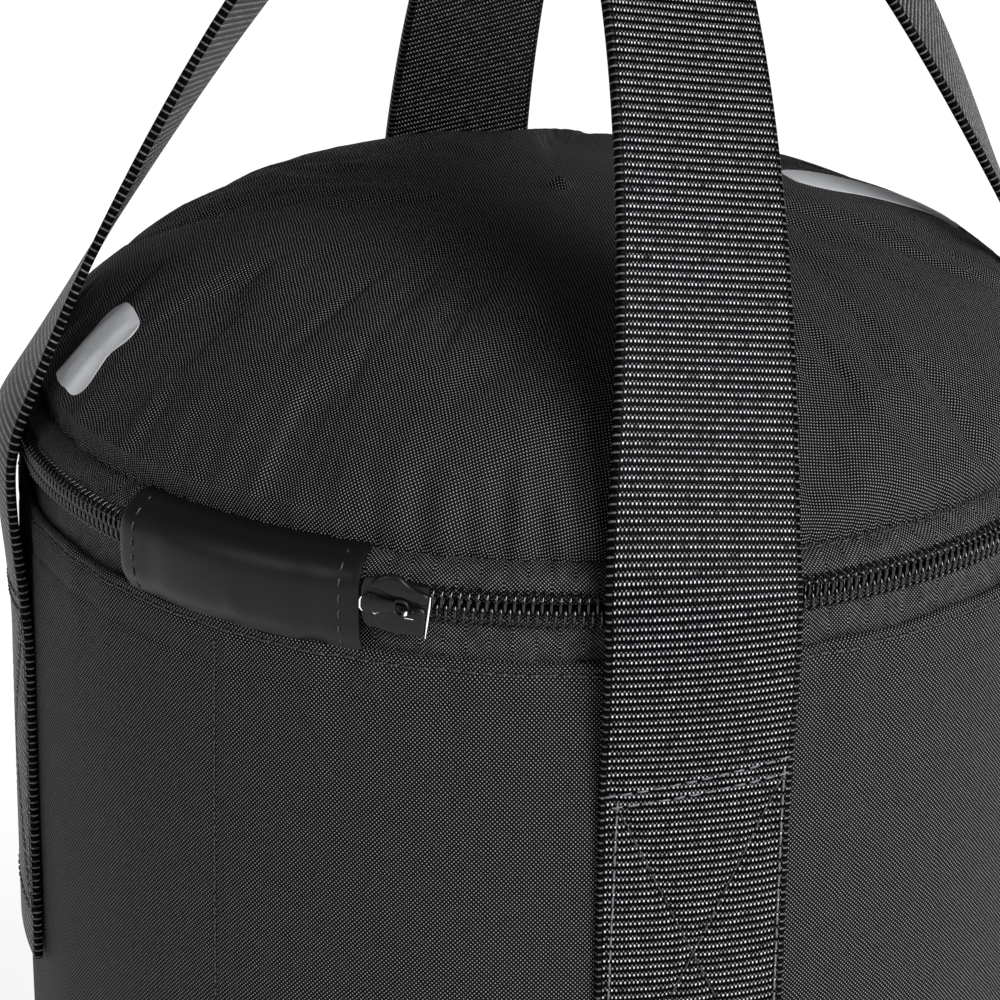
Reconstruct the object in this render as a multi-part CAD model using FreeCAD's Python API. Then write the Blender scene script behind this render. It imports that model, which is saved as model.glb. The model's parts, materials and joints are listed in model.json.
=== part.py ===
"""Round zip bag for a pair of golf shoes.

A drum-shaped fabric bag with a domed lid, a coil zip that runs round the rim, a coated
hinge tab at the back, and two carry handles whose four ends are sewn to the wall.

Frame: millimetres, +Z up, origin at the centre of the underside, hinge tab at +Y.
Bearings are degrees anticlockwise from +X, seen from above. Pieces that go round the bag
are drawn as a profile in the radius-height plane and turned about Z.
"""

import FreeCAD, Part
import math
import os

from FreeCAD import Vector

# ---------------------------------------------------------------- driving dimensions

WALL_RADIUS = 117.7        # outside of the wall
WALL_TOP = 299.3           # folded top edge of the wall
CHAIN_Z = 310.0            # middle of the zip chain
LID_RADIUS = 111.0         # outside of the lid at its seam
LID_SEAM_Z = 317.6         # lower edge of the lid
LID_RISE = 41.4            # height of the dome above its seam

FABRIC = 0.7               # outer fabric
LINING = 0.6               # lining fabric
FOAM = 3.5                 # padding between the two
PLY_GAP = 0.1              # clearance between plies of one body

HEM_DEPTH = 8.3            # depth of the folded hem at the wall's top
BOARD_THICKNESS = 2.5      # stiff disc in the base
PIPING_RADIUS = 1.9        # cord in the base seam
BINDING = 0.9              # folded tape inside the rim
BINDING_DEPTH = 9.3        # height of that tape
LID_BINDING_INNER = 106.0  # flat tape round the underside of the lid
LID_BINDING_OUTER = 110.1
LID_BINDING_DEPTH = 2.7

COIL_INNER = 115.9         # zip coil, radial extent
COIL_OUTER = 118.1
COIL_WIDTH = 2.9           # height of one side's coil
CHAIN_GAP = 1.6            # clear height between the two coils, for the slider's bridge
TAPE = 0.6                 # zip tape thickness
TAPE_UPRIGHT = 5.0         # height over the chain where the upper tape starts to lean in
TAPE_FOOT = 1.2            # thickness of the upper tape along its slanted top
STOP_ANGLE = 1.4           # length of an end stop, as an angle

HINGE_BEARING = 90.0       # middle of the hinge tab
TAB_HALF_ANGLE = 13.6      # half of the tab's width, as an angle
TAB = 1.0                  # thickness of the coated tab
TAB_FOLD_GAP = 0.5         # clear height between the tab's two halves, at the hinge line
TAB_BEND = 4.9             # height over the chain where the upper half leans in
CHAIN_HALF_GAP = 11.0      # half of the angle without zip, under the tab
FIXED_HALF_ANGLE = 24.0    # the upper zip tape stays with the wall inside this angle
PART_GAP = 0.3             # clearance angle and distance between bodies

STRAP_WIDTH = 38.0
STRAP = 2.0                # webbing thickness
STRAP_BEARINGS = {"rear_right": 45.0, "rear_left": 135.0, "front_left": 225.0, "front_right": 315.0}
STRAP_END_Z = 192.0        # lower end of the sewn webbing
STRAP_STANDOFF = 121.6     # inside of the webbing where it crosses the zip
STRAP_TOP = 310.5          # where the sewn webbing ends and the handle begins
HANDLE_START_Z = 311.6
HANDLE_APEX = Vector(0.0, 20.5, 453.0)
HANDLE_RISE = 38.0         # height over which the handle leaves the rim upright
HANDLE_RUN = 34.0          # flat length on each side of the handle's middle
HANDLE_SECTIONS = 8        # sections on each leg

SLIDER_BEARING = 107.5     # middle of the slider when the zip is closed
SLIDER_LENGTH = 15.0
SLIDER_PLATE = 1.0
SLIDER_FACE = 118.5        # inside of the slider's outer plate
SLIDER_BACK = 114.6        # outside of the slider's inner plate
SLIDER_WIDE = 6.2          # half-heights of the outer plate
SLIDER_NARROW = 4.6
SLIDER_BACK_WIDE = 3.9     # half-heights of the inner plate
SLIDER_BACK_NARROW = 3.4
SLIDER_POST = 3.0          # bridge between the plates, along the chain
ARCH_START = 0.1           # the arch over the pull's bar, measured towards the narrow end
ARCH_END = 4.9
ARCH_HEIGHT = 1.5
ARCH_WALL = 0.6
PULL_AXIS_U = 2.5          # pull's axis, towards the slider's narrow end
PULL = 0.6                 # thickness of the pull
PULL_END_U = -8.0          # tip of the pull
PULL_EYE_END_U = -0.6      # far side of the window that the arch goes through
PULL_HALF_HEIGHT = 2.6
PULL_EYE_HALF_HEIGHT = 2.2
PULL_BAR = 0.3             # half-thickness of the bar


# ---------------------------------------------------------------- helpers

def ring(profile, start=0.0, end=360.0):
    """Turn a closed radius-height outline about Z, from one bearing to another."""
    points = [Vector(r, 0, z) for r, z in profile]
    face = Part.Face(Part.makePolygon(points + points[:1]))
    solid = face.revolve(Vector(0, 0, 0), Vector(0, 0, 1), end - start)
    solid.rotate(Vector(0, 0, 0), Vector(0, 0, 1), start)
    return solid


def band(inner, outer, low, high, start=0.0, end=360.0):
    """Plain ring of rectangular section."""
    return ring([(inner, low), (outer, low), (outer, high), (inner, high)], start, end)


def disc(radius, low, high):
    return Part.makeCylinder(radius, high - low, Vector(0, 0, low))


def dome(inset, thickness):
    """Shell of the lid: two ellipses with a common seam plane, turned about Z."""
    outer = quarter_ellipse(LID_RADIUS - inset, LID_RISE - inset)
    inner = quarter_ellipse(LID_RADIUS - inset - thickness, LID_RISE - inset - thickness)
    foot = Part.makeLine(inner.firstVertex().Point, outer.firstVertex().Point)
    crown_z = LID_SEAM_Z + LID_RISE - inset
    crown = Part.makeLine(Vector(0, 0, crown_z), Vector(0, 0, crown_z - thickness))
    wire = Part.Wire(Part.__sortEdges__([foot, outer, crown, inner]))
    return Part.Face(wire).revolve(Vector(0, 0, 0), Vector(0, 0, 1), 360)


def quarter_ellipse(a, b):
    """Quarter of an ellipse in the XZ plane, from the seam to the crown."""
    centre = Vector(0, 0, LID_SEAM_Z)
    ellipse = Part.Ellipse(centre + Vector(a, 0, 0), centre + Vector(0, 0, b), centre)
    return ellipse.toBSpline(0, math.pi / 2).toShape()


def box(low, high):
    return Part.makeBox(*(h - l for l, h in zip(low, high)), Vector(*low))


def save(name, shape):
    shape.exportStep("parts/" + name + ".step")


# ---------------------------------------------------------------- wall and base

def wall_plies():
    inner_fabric = WALL_RADIUS - FABRIC
    hem_inner = WALL_RADIUS - 2.5 * FABRIC
    hem_low = WALL_TOP - HEM_DEPTH
    foot = 2 * PIPING_RADIUS + 0.4
    save("wall_outer", ring([(inner_fabric, foot), (WALL_RADIUS, foot), (WALL_RADIUS, WALL_TOP),
                             (hem_inner, WALL_TOP), (hem_inner, hem_low), (inner_fabric, hem_low)]))
    foam_outer = inner_fabric - PLY_GAP
    save("wall_foam", band(foam_outer - FOAM, foam_outer, foot, hem_low - PLY_GAP))
    lining_outer = foam_outer - FOAM - PLY_GAP
    save("wall_lining", band(lining_outer - LINING, lining_outer, foot, WALL_TOP - 1.8))
    return lining_outer - LINING


def rim_binding(lining_inner):
    """Folded tape that hides the raw edges inside the rim."""
    outer = lining_inner - PLY_GAP
    inner = outer - BINDING
    top = WALL_TOP - FABRIC
    low = top - BINDING_DEPTH
    reach = COIL_INNER - 2 * PLY_GAP - TAPE
    lip = top - 1.0
    save("rim_binding", ring([(inner, low), (outer, low), (outer, lip), (reach, lip),
                              (reach, top), (inner, top)]))
    return inner


def seam_tape(lining_inner):
    """Flat tape over the wall's one seam, inside the bag, under the hinge tab."""
    half_angle = 4.5
    low = 6.0
    high = WALL_TOP - 11.0
    outer = lining_inner - PLY_GAP
    save("wall_seam_tape", band(outer - LINING, outer, low, high,
                                HINGE_BEARING - half_angle, HINGE_BEARING + half_angle))


def base(lining_inner):
    panel_top = 0.8
    board_top = panel_top + PLY_GAP + BOARD_THICKNESS
    board_radius = lining_inner - 0.6
    cloth_radius = lining_inner - 0.3
    piping_ring = WALL_RADIUS - 1.1
    save("base_panel", disc(piping_ring - PIPING_RADIUS - PLY_GAP, 0.0, panel_top))
    save("base_board", disc(board_radius, panel_top + PLY_GAP, board_top))
    cloth_low = board_top + PLY_GAP
    save("base_lining", disc(cloth_radius, cloth_low, cloth_low + LINING))
    piping_z = PIPING_RADIUS + 0.2
    save("base_piping", Part.makeTorus(piping_ring, PIPING_RADIUS, Vector(0, 0, piping_z)))


# ---------------------------------------------------------------- lid

def lid():
    save("lid_panel", dome(0.0, FABRIC))
    save("lid_foam", dome(FABRIC + PLY_GAP, FOAM))
    save("lid_lining", dome(FABRIC + FOAM + 2 * PLY_GAP, LINING))
    top = LID_SEAM_Z - PLY_GAP
    save("lid_rim_binding", band(LID_BINDING_INNER, LID_BINDING_OUTER, top - LID_BINDING_DEPTH, top))


# ---------------------------------------------------------------- zip

def tape_profile(top):
    """Upper tape: upright behind the coil, then leaning in to the lid's seam."""
    inner = COIL_INNER - PLY_GAP - TAPE
    outer = COIL_INNER - PLY_GAP
    low = CHAIN_Z + CHAIN_GAP / 2
    bend = CHAIN_Z + TAPE_UPRIGHT
    lean = (LID_RADIUS + TAPE - outer) / (LID_SEAM_Z - PLY_GAP - bend)
    reach = outer + lean * (top - bend)
    return [(inner, low), (outer, low), (outer, bend), (reach, top),
            (reach - TAPE_FOOT, top), (inner, bend - 0.4)]


def zip_fastener():
    tape_inner = COIL_INNER - PLY_GAP - TAPE
    tape_outer = COIL_INNER - PLY_GAP
    lower_top = CHAIN_Z - CHAIN_GAP / 2
    upper_low = CHAIN_Z + CHAIN_GAP / 2
    first = HINGE_BEARING + CHAIN_HALF_GAP
    last = HINGE_BEARING + 360.0 - CHAIN_HALF_GAP
    lid_first = HINGE_BEARING + FIXED_HALF_ANGLE + PART_GAP
    lid_last = HINGE_BEARING + 360.0 - FIXED_HALF_ANGLE - PART_GAP

    tuck_angle = 4.0

    save("zip_tape_lower", band(tape_inner, tape_outer, WALL_TOP - HEM_DEPTH, lower_top,
                                first - tuck_angle, last + tuck_angle))
    save("zip_coil_lower", band(COIL_INNER, COIL_OUTER, lower_top - COIL_WIDTH, lower_top, first, last))
    save("zip_tape_upper", ring(tape_profile(LID_SEAM_Z - PLY_GAP), lid_first, lid_last))
    save("zip_coil_upper", band(COIL_INNER, COIL_OUTER, upper_low, upper_low + COIL_WIDTH,
                                lid_first, lid_last))

    ends = ((first, HINGE_BEARING + FIXED_HALF_ANGLE),
            (HINGE_BEARING - FIXED_HALF_ANGLE, HINGE_BEARING - CHAIN_HALF_GAP))
    end_top = LID_SEAM_Z - 0.8
    save("zip_tape_ends", Part.Compound([ring(tape_profile(end_top), a, b) for a, b in ends]))
    save("zip_coil_ends", Part.Compound([band(COIL_INNER, COIL_OUTER, upper_low, upper_low + COIL_WIDTH, a, b)
                                         for a, b in ends]))

    stops = []
    for edge in (first - STOP_ANGLE, HINGE_BEARING - CHAIN_HALF_GAP):
        for low in (lower_top - COIL_WIDTH, upper_low):
            stops.append(band(COIL_INNER, COIL_OUTER, low, low + COIL_WIDTH, edge, edge + STOP_ANGLE))
    save("zip_stops", Part.Compound(stops))


def slider_plate(half_wide, half_narrow, low, high):
    """Shield-shaped plate: wide at the open end, narrow at the closed end."""
    u_wide = -SLIDER_LENGTH / 2
    u_narrow = SLIDER_LENGTH / 2
    shoulder = u_wide + 0.45 * SLIDER_LENGTH
    outline = [(u_wide + 1.0, 0.55 * half_wide), (u_wide, 0.75 * half_wide), (u_wide + 1.6, half_wide),
               (shoulder, half_wide), (u_narrow - 3.0, half_narrow), (u_narrow, half_narrow)]
    outline += [(u, -h) for u, h in reversed(outline)]
    points = [Vector(-u, low, CHAIN_Z + h) for u, h in outline]
    return Part.Face(Part.makePolygon(points + points[:1])).extrude(Vector(0, high - low, 0))


def at_slider(shape):
    """Carry a piece drawn at bearing 90 to the slider's own bearing."""
    shape.rotate(Vector(0, 0, 0), Vector(0, 0, 1), SLIDER_BEARING - 90.0)
    return shape


def slider():
    face = SLIDER_FACE
    top = face + SLIDER_PLATE
    back = SLIDER_BACK
    post_start = 1.0 - SLIDER_LENGTH / 2
    post_end = post_start + SLIDER_POST
    half_post = 0.5
    half_arch = 0.6
    half_cut = 1.0
    overlap = 0.1
    outer = slider_plate(SLIDER_WIDE, SLIDER_NARROW, face, top)
    inner = slider_plate(SLIDER_BACK_WIDE, SLIDER_BACK_NARROW, back - 0.9, back)
    bridge = box((-post_end, back - overlap, CHAIN_Z - half_post),
                 (-post_start, face + overlap, CHAIN_Z + half_post))
    arch = box((-ARCH_END, top - overlap, CHAIN_Z - half_arch),
               (-ARCH_START, top + ARCH_HEIGHT, CHAIN_Z + half_arch))
    window = box((-ARCH_END + ARCH_WALL, top, CHAIN_Z - half_cut),
                 (-ARCH_START - ARCH_WALL, top + ARCH_HEIGHT - 0.5, CHAIN_Z + half_cut))
    save("slider_body", at_slider(outer.fuse([inner, bridge, arch.cut(window)]).removeSplitter()))


def pull():
    """Short tongue whose end bar lies under the slider's arch."""
    low = SLIDER_FACE + SLIDER_PLATE + 0.15
    high = low + PULL
    eye = PULL_EYE_HALF_HEIGHT
    half = PULL_HALF_HEIGHT
    half_window = 1.0
    eye_end = -PULL_EYE_END_U
    frame = box((-(PULL_AXIS_U + PULL_BAR), low, CHAIN_Z - eye), (eye_end + 0.9, high, CHAIN_Z + eye))
    window = box((-(PULL_AXIS_U - PULL_BAR), low - 1, CHAIN_Z - half_window),
                 (eye_end, high + 1, CHAIN_Z + half_window))
    tongue = box((eye_end + 0.8, low, CHAIN_Z - half), (-PULL_END_U, high, CHAIN_Z + half))
    save("slider_pull", at_slider(frame.cut(window).fuse(tongue).removeSplitter()))


# ---------------------------------------------------------------- hinge tab

def hinge_tab():
    inner = COIL_OUTER + PART_GAP
    outer = inner + TAB
    start = HINGE_BEARING - TAB_HALF_ANGLE
    end = HINGE_BEARING + TAB_HALF_ANGLE
    fold_low = CHAIN_Z - TAB_FOLD_GAP / 2
    fold_high = CHAIN_Z + TAB_FOLD_GAP / 2
    wall_face = WALL_RADIUS + PLY_GAP
    foot = WALL_TOP - 1.8
    save("hinge_tab_lower", ring([(inner, fold_low), (outer, fold_low), (outer, WALL_TOP + 0.9),
                                  (wall_face + TAB, foot), (wall_face, foot),
                                  (wall_face, WALL_TOP + 0.3), (inner, WALL_TOP + 1.3)],
                                 start, end))
    bend = CHAIN_Z + TAB_BEND
    seam = LID_RADIUS + 0.6
    save("hinge_tab_upper", ring([(inner, fold_high), (outer, fold_high), (outer, bend),
                                  (seam + 0.8, LID_SEAM_Z + 0.9), (seam, LID_SEAM_Z + 0.1),
                                  (inner, bend - 0.5)],
                                 start, end))


# ---------------------------------------------------------------- straps and handles

def strap_bases():
    """Webbing ends sewn to the wall, standing off it where they cross the zip."""
    inner = WALL_RADIUS + 0.2
    outer = inner + STRAP
    far = STRAP_STANDOFF + STRAP
    half_angle = math.degrees(STRAP_WIDTH / 2 / WALL_RADIUS)
    lift_off = WALL_TOP - 6.0
    upright = WALL_TOP + 3.4
    bias = 0.35
    profile = [(inner, STRAP_END_Z), (outer, STRAP_END_Z), (outer, lift_off), (far, upright),
               (far, STRAP_TOP), (STRAP_STANDOFF, STRAP_TOP), (STRAP_STANDOFF, upright + bias),
               (inner, lift_off + bias)]
    for place, bearing in STRAP_BEARINGS.items():
        save("strap_base_" + place, ring(profile, bearing - half_angle, bearing + half_angle))


def bezier(points, t):
    """Point and direction on a cubic curve."""
    a, b, c, d = points
    s = 1 - t
    place = a * s**3 + b * (3 * s * s * t) + c * (3 * s * t * t) + d * t**3
    along = (b - a) * (3 * s * s) + (c - b) * (6 * s * t) + (d - c) * (3 * t * t)
    return place, along.normalize()


def handle_section(t):
    """Webbing section on the right leg of the rear handle, turning from tangent to square."""
    bearing = math.radians(STRAP_BEARINGS["rear_right"])
    middle = (STRAP_STANDOFF + STRAP / 2) * math.cos(bearing)
    start = Vector(middle, middle, HANDLE_START_Z)
    rise = start + Vector(-0.5, -0.5, HANDLE_RISE)
    run = HANDLE_APEX + Vector(HANDLE_RUN, 3.5, 0)
    centre, along = bezier((start, rise, run, HANDLE_APEX), t)
    turn = bearing * (1 - t)
    across = Vector(-math.sin(turn), math.cos(turn), 0)
    across = (across - along * across.dot(along)).normalize()
    out = along.cross(across).normalize()
    half_width = across * (STRAP_WIDTH / 2)
    half_depth = out * (STRAP / 2)
    return [centre + half_width + half_depth, centre - half_width + half_depth,
            centre - half_width - half_depth, centre + half_width - half_depth]


def handles():
    """Each handle is one loop of webbing; the front one mirrors the rear one."""
    right = [handle_section(i / HANDLE_SECTIONS) for i in range(HANDLE_SECTIONS + 1)]
    left = [[Vector(-p.x, p.y, p.z) for p in corners] for corners in reversed(right[:-1])]
    wires = [Part.makePolygon(corners + corners[:1]) for corners in right + left]
    rear = Part.makeLoft(wires, True, False)
    save("handle_rear", rear)
    save("handle_front", rear.mirror(Vector(0, 0, 0), Vector(0, 1, 0)))


# ---------------------------------------------------------------- whole bag

os.makedirs("parts", exist_ok=True)
lining_inner = wall_plies()
rim_binding(lining_inner)
seam_tape(lining_inner)
base(lining_inner)
lid()
zip_fastener()
slider()
pull()
hinge_tab()
strap_bases()
handles()
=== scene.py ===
"""Looks of the round golf shoe bag, as an add-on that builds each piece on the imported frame.

Sizes inside the shape functions are in millimetres and bearings in degrees, anticlockwise
from +X seen from above; meshes are made in metres in the frame's own axes. The hinge tab is
at +Y, and the camera stands near bearing 121.
"""

import json
import math

import bmesh
import bpy
import numpy as np
from mathutils import Matrix, Vector
from mathutils.bvhtree import BVHTree

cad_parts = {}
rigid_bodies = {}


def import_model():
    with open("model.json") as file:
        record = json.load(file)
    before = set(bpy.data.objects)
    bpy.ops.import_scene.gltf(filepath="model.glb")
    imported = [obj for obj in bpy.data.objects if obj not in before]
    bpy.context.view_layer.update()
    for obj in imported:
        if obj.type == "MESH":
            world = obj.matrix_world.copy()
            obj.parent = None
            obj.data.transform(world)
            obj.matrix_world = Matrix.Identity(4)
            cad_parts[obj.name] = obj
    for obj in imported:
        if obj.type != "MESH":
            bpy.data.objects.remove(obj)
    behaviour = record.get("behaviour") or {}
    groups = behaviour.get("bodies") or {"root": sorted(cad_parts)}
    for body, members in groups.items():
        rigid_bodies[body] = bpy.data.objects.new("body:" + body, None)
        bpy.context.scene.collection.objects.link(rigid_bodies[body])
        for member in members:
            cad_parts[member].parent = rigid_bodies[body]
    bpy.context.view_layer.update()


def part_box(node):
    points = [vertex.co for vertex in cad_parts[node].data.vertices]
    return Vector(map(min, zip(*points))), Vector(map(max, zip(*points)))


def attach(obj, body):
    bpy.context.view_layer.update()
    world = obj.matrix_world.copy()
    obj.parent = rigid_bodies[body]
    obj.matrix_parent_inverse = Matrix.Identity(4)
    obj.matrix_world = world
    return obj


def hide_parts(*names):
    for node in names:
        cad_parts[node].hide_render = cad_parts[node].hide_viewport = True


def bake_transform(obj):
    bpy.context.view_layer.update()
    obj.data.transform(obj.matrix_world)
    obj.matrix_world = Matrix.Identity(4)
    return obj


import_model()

bl_info = {
    "name": "Golf shoe bag",
    "version": (1, 0, 0),
    "blender": (4, 5, 0),
    "location": "3D View > Sidebar > Shoe bag",
    "description": "Builds a round zip bag for golf shoes on its frame",
    "category": "Object",
}

MM = 0.001


def high(node, axis=2):
    """Upper limit of a frame node along an axis, in millimetres."""
    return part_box(node)[1][axis] / MM


def low(node, axis=2):
    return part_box(node)[0][axis] / MM


WALL_R = 117.7             # outer cloth of the wall, before it swells
WALL_TOP = high("wall_outer")
WALL_FOOT = low("wall_outer")
LID_R = 111.0              # outer cloth of the lid at its seam
SEAM_Z = low("lid_panel")
LID_TOP = high("lid_panel")
LID_STITCH_PITCH = 3.1
CHAIN_Z = 310.0            # middle of the closed coil
CHAIN_R = 117.0
CHAIN_START = 101.0        # bearing of the chain's first element, beside the tab
CHAIN_TURN = 338.0         # angle that the chain runs through
HINGE = 90.0               # bearing of the tab's middle
TAB_FOLD = ((0, 119.0, 303.0), (0, 119.0, 317.0))    # the tab's fold runs between these two points; bends() does not use them
SLIDER_BEARING = 107.5
STRAP_BEARING = 45.0
STRAP_FOOT = low("strap_base_rear_right")
STRAP_TOP_R = 121.9        # middle plane of the webbing where it stands off the rim
STRAP_FREE_Z = 313.5       # above this height a strap arches over and leans aside
PADDING = 4.3              # outer fabric and foam together


# ---------------------------------------------------------------- colours and sizes

def linear(code):
    """sRGB hex to the linear values that shaders take."""
    parts = [int(code[i:i + 2], 16) / 255 for i in (0, 2, 4)]
    return tuple(c / 12.92 if c <= 0.04045 else ((c + 0.055) / 1.055) ** 2.4 for c in parts)


def colour(name, description, code):
    return bpy.props.FloatVectorProperty(name=name, description=description, default=linear(code),
                                         subtype="COLOR", size=3, min=0.0, max=1.0)


def length(name, description, millimetres):
    return bpy.props.FloatProperty(name=name, description=description, default=millimetres * MM,
                                   min=0.0, subtype="DISTANCE", unit="LENGTH", precision=5)


class ShoeBagColours(bpy.types.PropertyGroup):
    fabric: colour("Fabric", "Ground of the outer oxford fabric", "060607")
    # fabric_glint is painted highlight: a light grey on the black thread crowns where they catch the light
    fabric_glint: colour("Fabric thread", "Raised threads of the outer fabric", "8e8e91")
    webbing: colour("Webbing", "Ground of the strap webbing", "030304")
    # webbing_glint is painted highlight on the black webbing's thread crowns
    webbing_glint: colour("Webbing thread", "Raised threads of the webbing", "c6c6ca")
    tape: colour("Zip tape", "Woven tape on both sides of the zip", "040404")
    # tape_glint is painted highlight on the black tape's raised threads
    tape_glint: colour("Zip tape thread", "Raised threads of the zip tape", "86868a")
    coil: colour("Coil", "Nylon coil of the zip", "020203")
    coated: colour("Coated tab", "Smooth coated cloth of the hinge tab", "080809")
    metal: colour("Slider", "Enamelled slider and pull", "09090a")
    lining: colour("Lining", "Lining cloth", "1b1b1d")
    binding: colour("Binding", "Tape that covers the raw edges", "131314")
    # zinc is painted highlight: a light colour on the slider's edges where they catch the light, not bare
    # metal
    zinc: colour("Worn edge", "Bare zinc at the slider's edges", "e2e2e4")
    thread: colour("Thread", "Sewing thread", "1d1d1f")
    # box_thread_highlight is the same sewing thread with painted highlight: a lighter copy for the box lines,
    # while the cross keeps the darker thread
    box_thread_highlight: colour("Strap thread", "Thread of the boxes that hold the straps", "58585c")
    board: colour("Board", "Stiff disc in the base", "5b544a")
    mark: colour("Mark", "Plain printed marks on the lid", "b4b6b9")
    floor: colour("Floor", "Floor under the bag", "8c8c8c")


class ShoeBagSizes(bpy.types.PropertyGroup):
    belly: length("Belly", "How far the wall swells between rim and base", 3.2)
    pucker: length("Pucker", "Depth of the gathers where cloth is sewn", 0.42)
    weave: length("Weave", "Distance between threads of the outer fabric", 0.86)
    webbing_rib: length("Webbing rib", "Distance between ribs along the webbing", 1.6)
    webbing_thick: length("Webbing thickness", "Thickness of the strap webbing", 2.0)
    webbing_wide: length("Webbing width", "Width of the strap webbing", 38.0)
    stitch: length("Stitch", "Length of a sewn stitch", 2.3)
    stitch_pitch: length("Stitch pitch", "Distance from one stitch to the next", 3.0)
    thread: length("Thread", "Thickness of the sewing thread", 0.42)
    filament: length("Filament", "Thickness of the coil's nylon", 0.74)
    seed: bpy.props.IntProperty(name="Seed", description="Fixes the small irregularities",
                                default=7, min=0)
    elements: bpy.props.IntProperty(name="Coil elements", description="Elements on one side",
                                    default=406, min=40)


def sizes():
    return bpy.context.scene.shoe_bag_sizes


def tints():
    return bpy.context.scene.shoe_bag_colours


# ---------------------------------------------------------------- shader helpers

def fed(tree, made, inputs):
    """Fill or link a node's inputs; each value is a setting or another node's socket."""
    for key, value in inputs.items():
        if isinstance(value, bpy.types.NodeSocket):
            tree.links.new(value, made.inputs[key])
        else:
            made.inputs[key].default_value = value
    return made


def node(tree, kind, inputs=None, **settings):
    """Add a node with its settings, and fill or link its inputs."""
    made = tree.nodes.new(kind)
    for key, value in settings.items():
        setattr(made, key, value)
    return fed(tree, made, inputs or {})


def calc(tree, operation, *values):
    """One Math node; each value is a number or a socket."""
    return node(tree, "ShaderNodeMath", dict(enumerate(values)), operation=operation).outputs[0]


def mixed(tree, factor, a, b):
    """Mix two colours by a factor."""
    made = node(tree, "ShaderNodeMix", {0: factor, 6: a, 7: b}, data_type="RGBA")
    return made.outputs[2]


def rgba(rgb):
    return (*rgb, 1.0)


def cloth_axes(tree):
    """The piece's UV in millimetres: across and along the cloth."""
    uv = node(tree, "ShaderNodeUVMap", uv_map="cloth").outputs[0]
    parts = node(tree, "ShaderNodeSeparateXYZ", {0: uv})
    return (calc(tree, "MULTIPLY", parts.outputs[0], 1000.0),
            calc(tree, "MULTIPLY", parts.outputs[1], 1000.0))


def object_noise(tree, scale, detail=2.0):
    place = node(tree, "ShaderNodeTexCoord").outputs["Object"]
    return node(tree, "ShaderNodeTexNoise",
                {"Vector": place, "Scale": scale, "Detail": detail}).outputs["Fac"]


def wave(tree, value, pitch, shift=0.0):
    """Sine of a length in millimetres, repeated each pitch."""
    turns = calc(tree, "MULTIPLY_ADD", value, 2 * math.pi / pitch, shift)
    return calc(tree, "SINE", turns)


def new_material(name):
    """An empty Principled material."""
    material = bpy.data.materials.new(name)
    material.use_nodes = True
    tree = material.node_tree
    return material, tree, tree.nodes["Principled BSDF"]


def weave_height(tree, u, v, pitch_u, pitch_v):
    """Plain weave: raised threads at staggered places."""
    both = calc(tree, "MULTIPLY", wave(tree, u, pitch_u), wave(tree, v, pitch_v))
    return calc(tree, "MULTIPLY_ADD", both, 0.5, 0.5)


def bumped(tree, height, distance, strength=1.0):
    return node(tree, "ShaderNodeBump", {"Height": height, "Distance": distance * MM,
                                         "Strength": strength}).outputs[0]


def thread_glints(tree, height, low_edge, high_edge):
    made = node(tree, "ShaderNodeMapRange", {0: height, 1: low_edge, 2: high_edge, 3: 0.0, 4: 1.0},
                interpolation_type="SMOOTHSTEP")
    return made.outputs[0]


def uneven_share(tree, scale, factor, offset, detail=2.0):
    """Noise stretched to a share, to make one place differ from the next."""
    return calc(tree, "MULTIPLY_ADD", object_noise(tree, scale, detail), factor, offset)


def oxford_material():
    """Black polyester oxford: dark ground, painted highlights on the thread crowns, hardly any sheen."""
    material, tree, shader = new_material("oxford_polyester")
    u, v = cloth_axes(tree)
    pitch = sizes().weave / MM
    wobble = uneven_share(tree, 180.0, 0.5, -0.25)
    height = weave_height(tree, calc(tree, "ADD", u, wobble), calc(tree, "ADD", v, wobble),
                          pitch, pitch * 1.12)
    uneven = uneven_share(tree, 900.0, 0.9, 0.45)
    # painted highlight: the thread crowns are mixed towards a light grey
    glint = calc(tree, "MULTIPLY", thread_glints(tree, height, 0.7, 1.0), uneven)
    fed(tree, shader, {"Base Color": mixed(tree, glint, rgba(tints().fabric), rgba(tints().fabric_glint)),
                       "Roughness": 0.6, "Specular IOR Level": 0.05, "Sheen Weight": 0.003,
                       "Sheen Roughness": 0.5, "Normal": bumped(tree, height, 0.12)})
    return material


def webbing_material():
    """Polypropylene webbing: ribs across it, thread crowns with painted highlights, ladder-like edges."""
    material, tree, shader = new_material("polypropylene_webbing")
    u, v = cloth_axes(tree)
    rib = sizes().webbing_rib / MM
    half = sizes().webbing_wide / MM / 2
    wobble = uneven_share(tree, 300.0, 0.5, -0.25)
    crowns = weave_height(tree, calc(tree, "ADD", u, wobble), v, 0.82, rib)
    ridge = calc(tree, "MULTIPLY_ADD", wave(tree, v, rib, 0.9), 0.32, 0.68)
    body = calc(tree, "MULTIPLY", crowns, ridge)
    selvedge = calc(tree, "MULTIPLY_ADD", wave(tree, v, rib), 0.25, 0.3)
    side = calc(tree, "ABSOLUTE", calc(tree, "SUBTRACT", u, half))
    edge = thread_glints(tree, side, half - 1.5, half - 1.0)
    height = node(tree, "ShaderNodeMix", {0: edge, 2: body, 3: selvedge}, data_type="FLOAT").outputs[0]
    uneven = calc(tree, "MAXIMUM", uneven_share(tree, 800.0, 3.2, -0.75, 4.0), 0.08)
    # painted highlight: the thread crowns are mixed towards a light grey
    glint = calc(tree, "MULTIPLY", thread_glints(tree, height, 0.42, 0.9), uneven)
    fed(tree, shader, {"Base Color": mixed(tree, glint, rgba(tints().webbing), rgba(tints().webbing_glint)),
                       "Roughness": 0.36,
                       "Specular IOR Level": calc(tree, "MULTIPLY_ADD", glint, 0.2, 0.02),
                       "Normal": bumped(tree, height, 0.24)})
    return material


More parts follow.
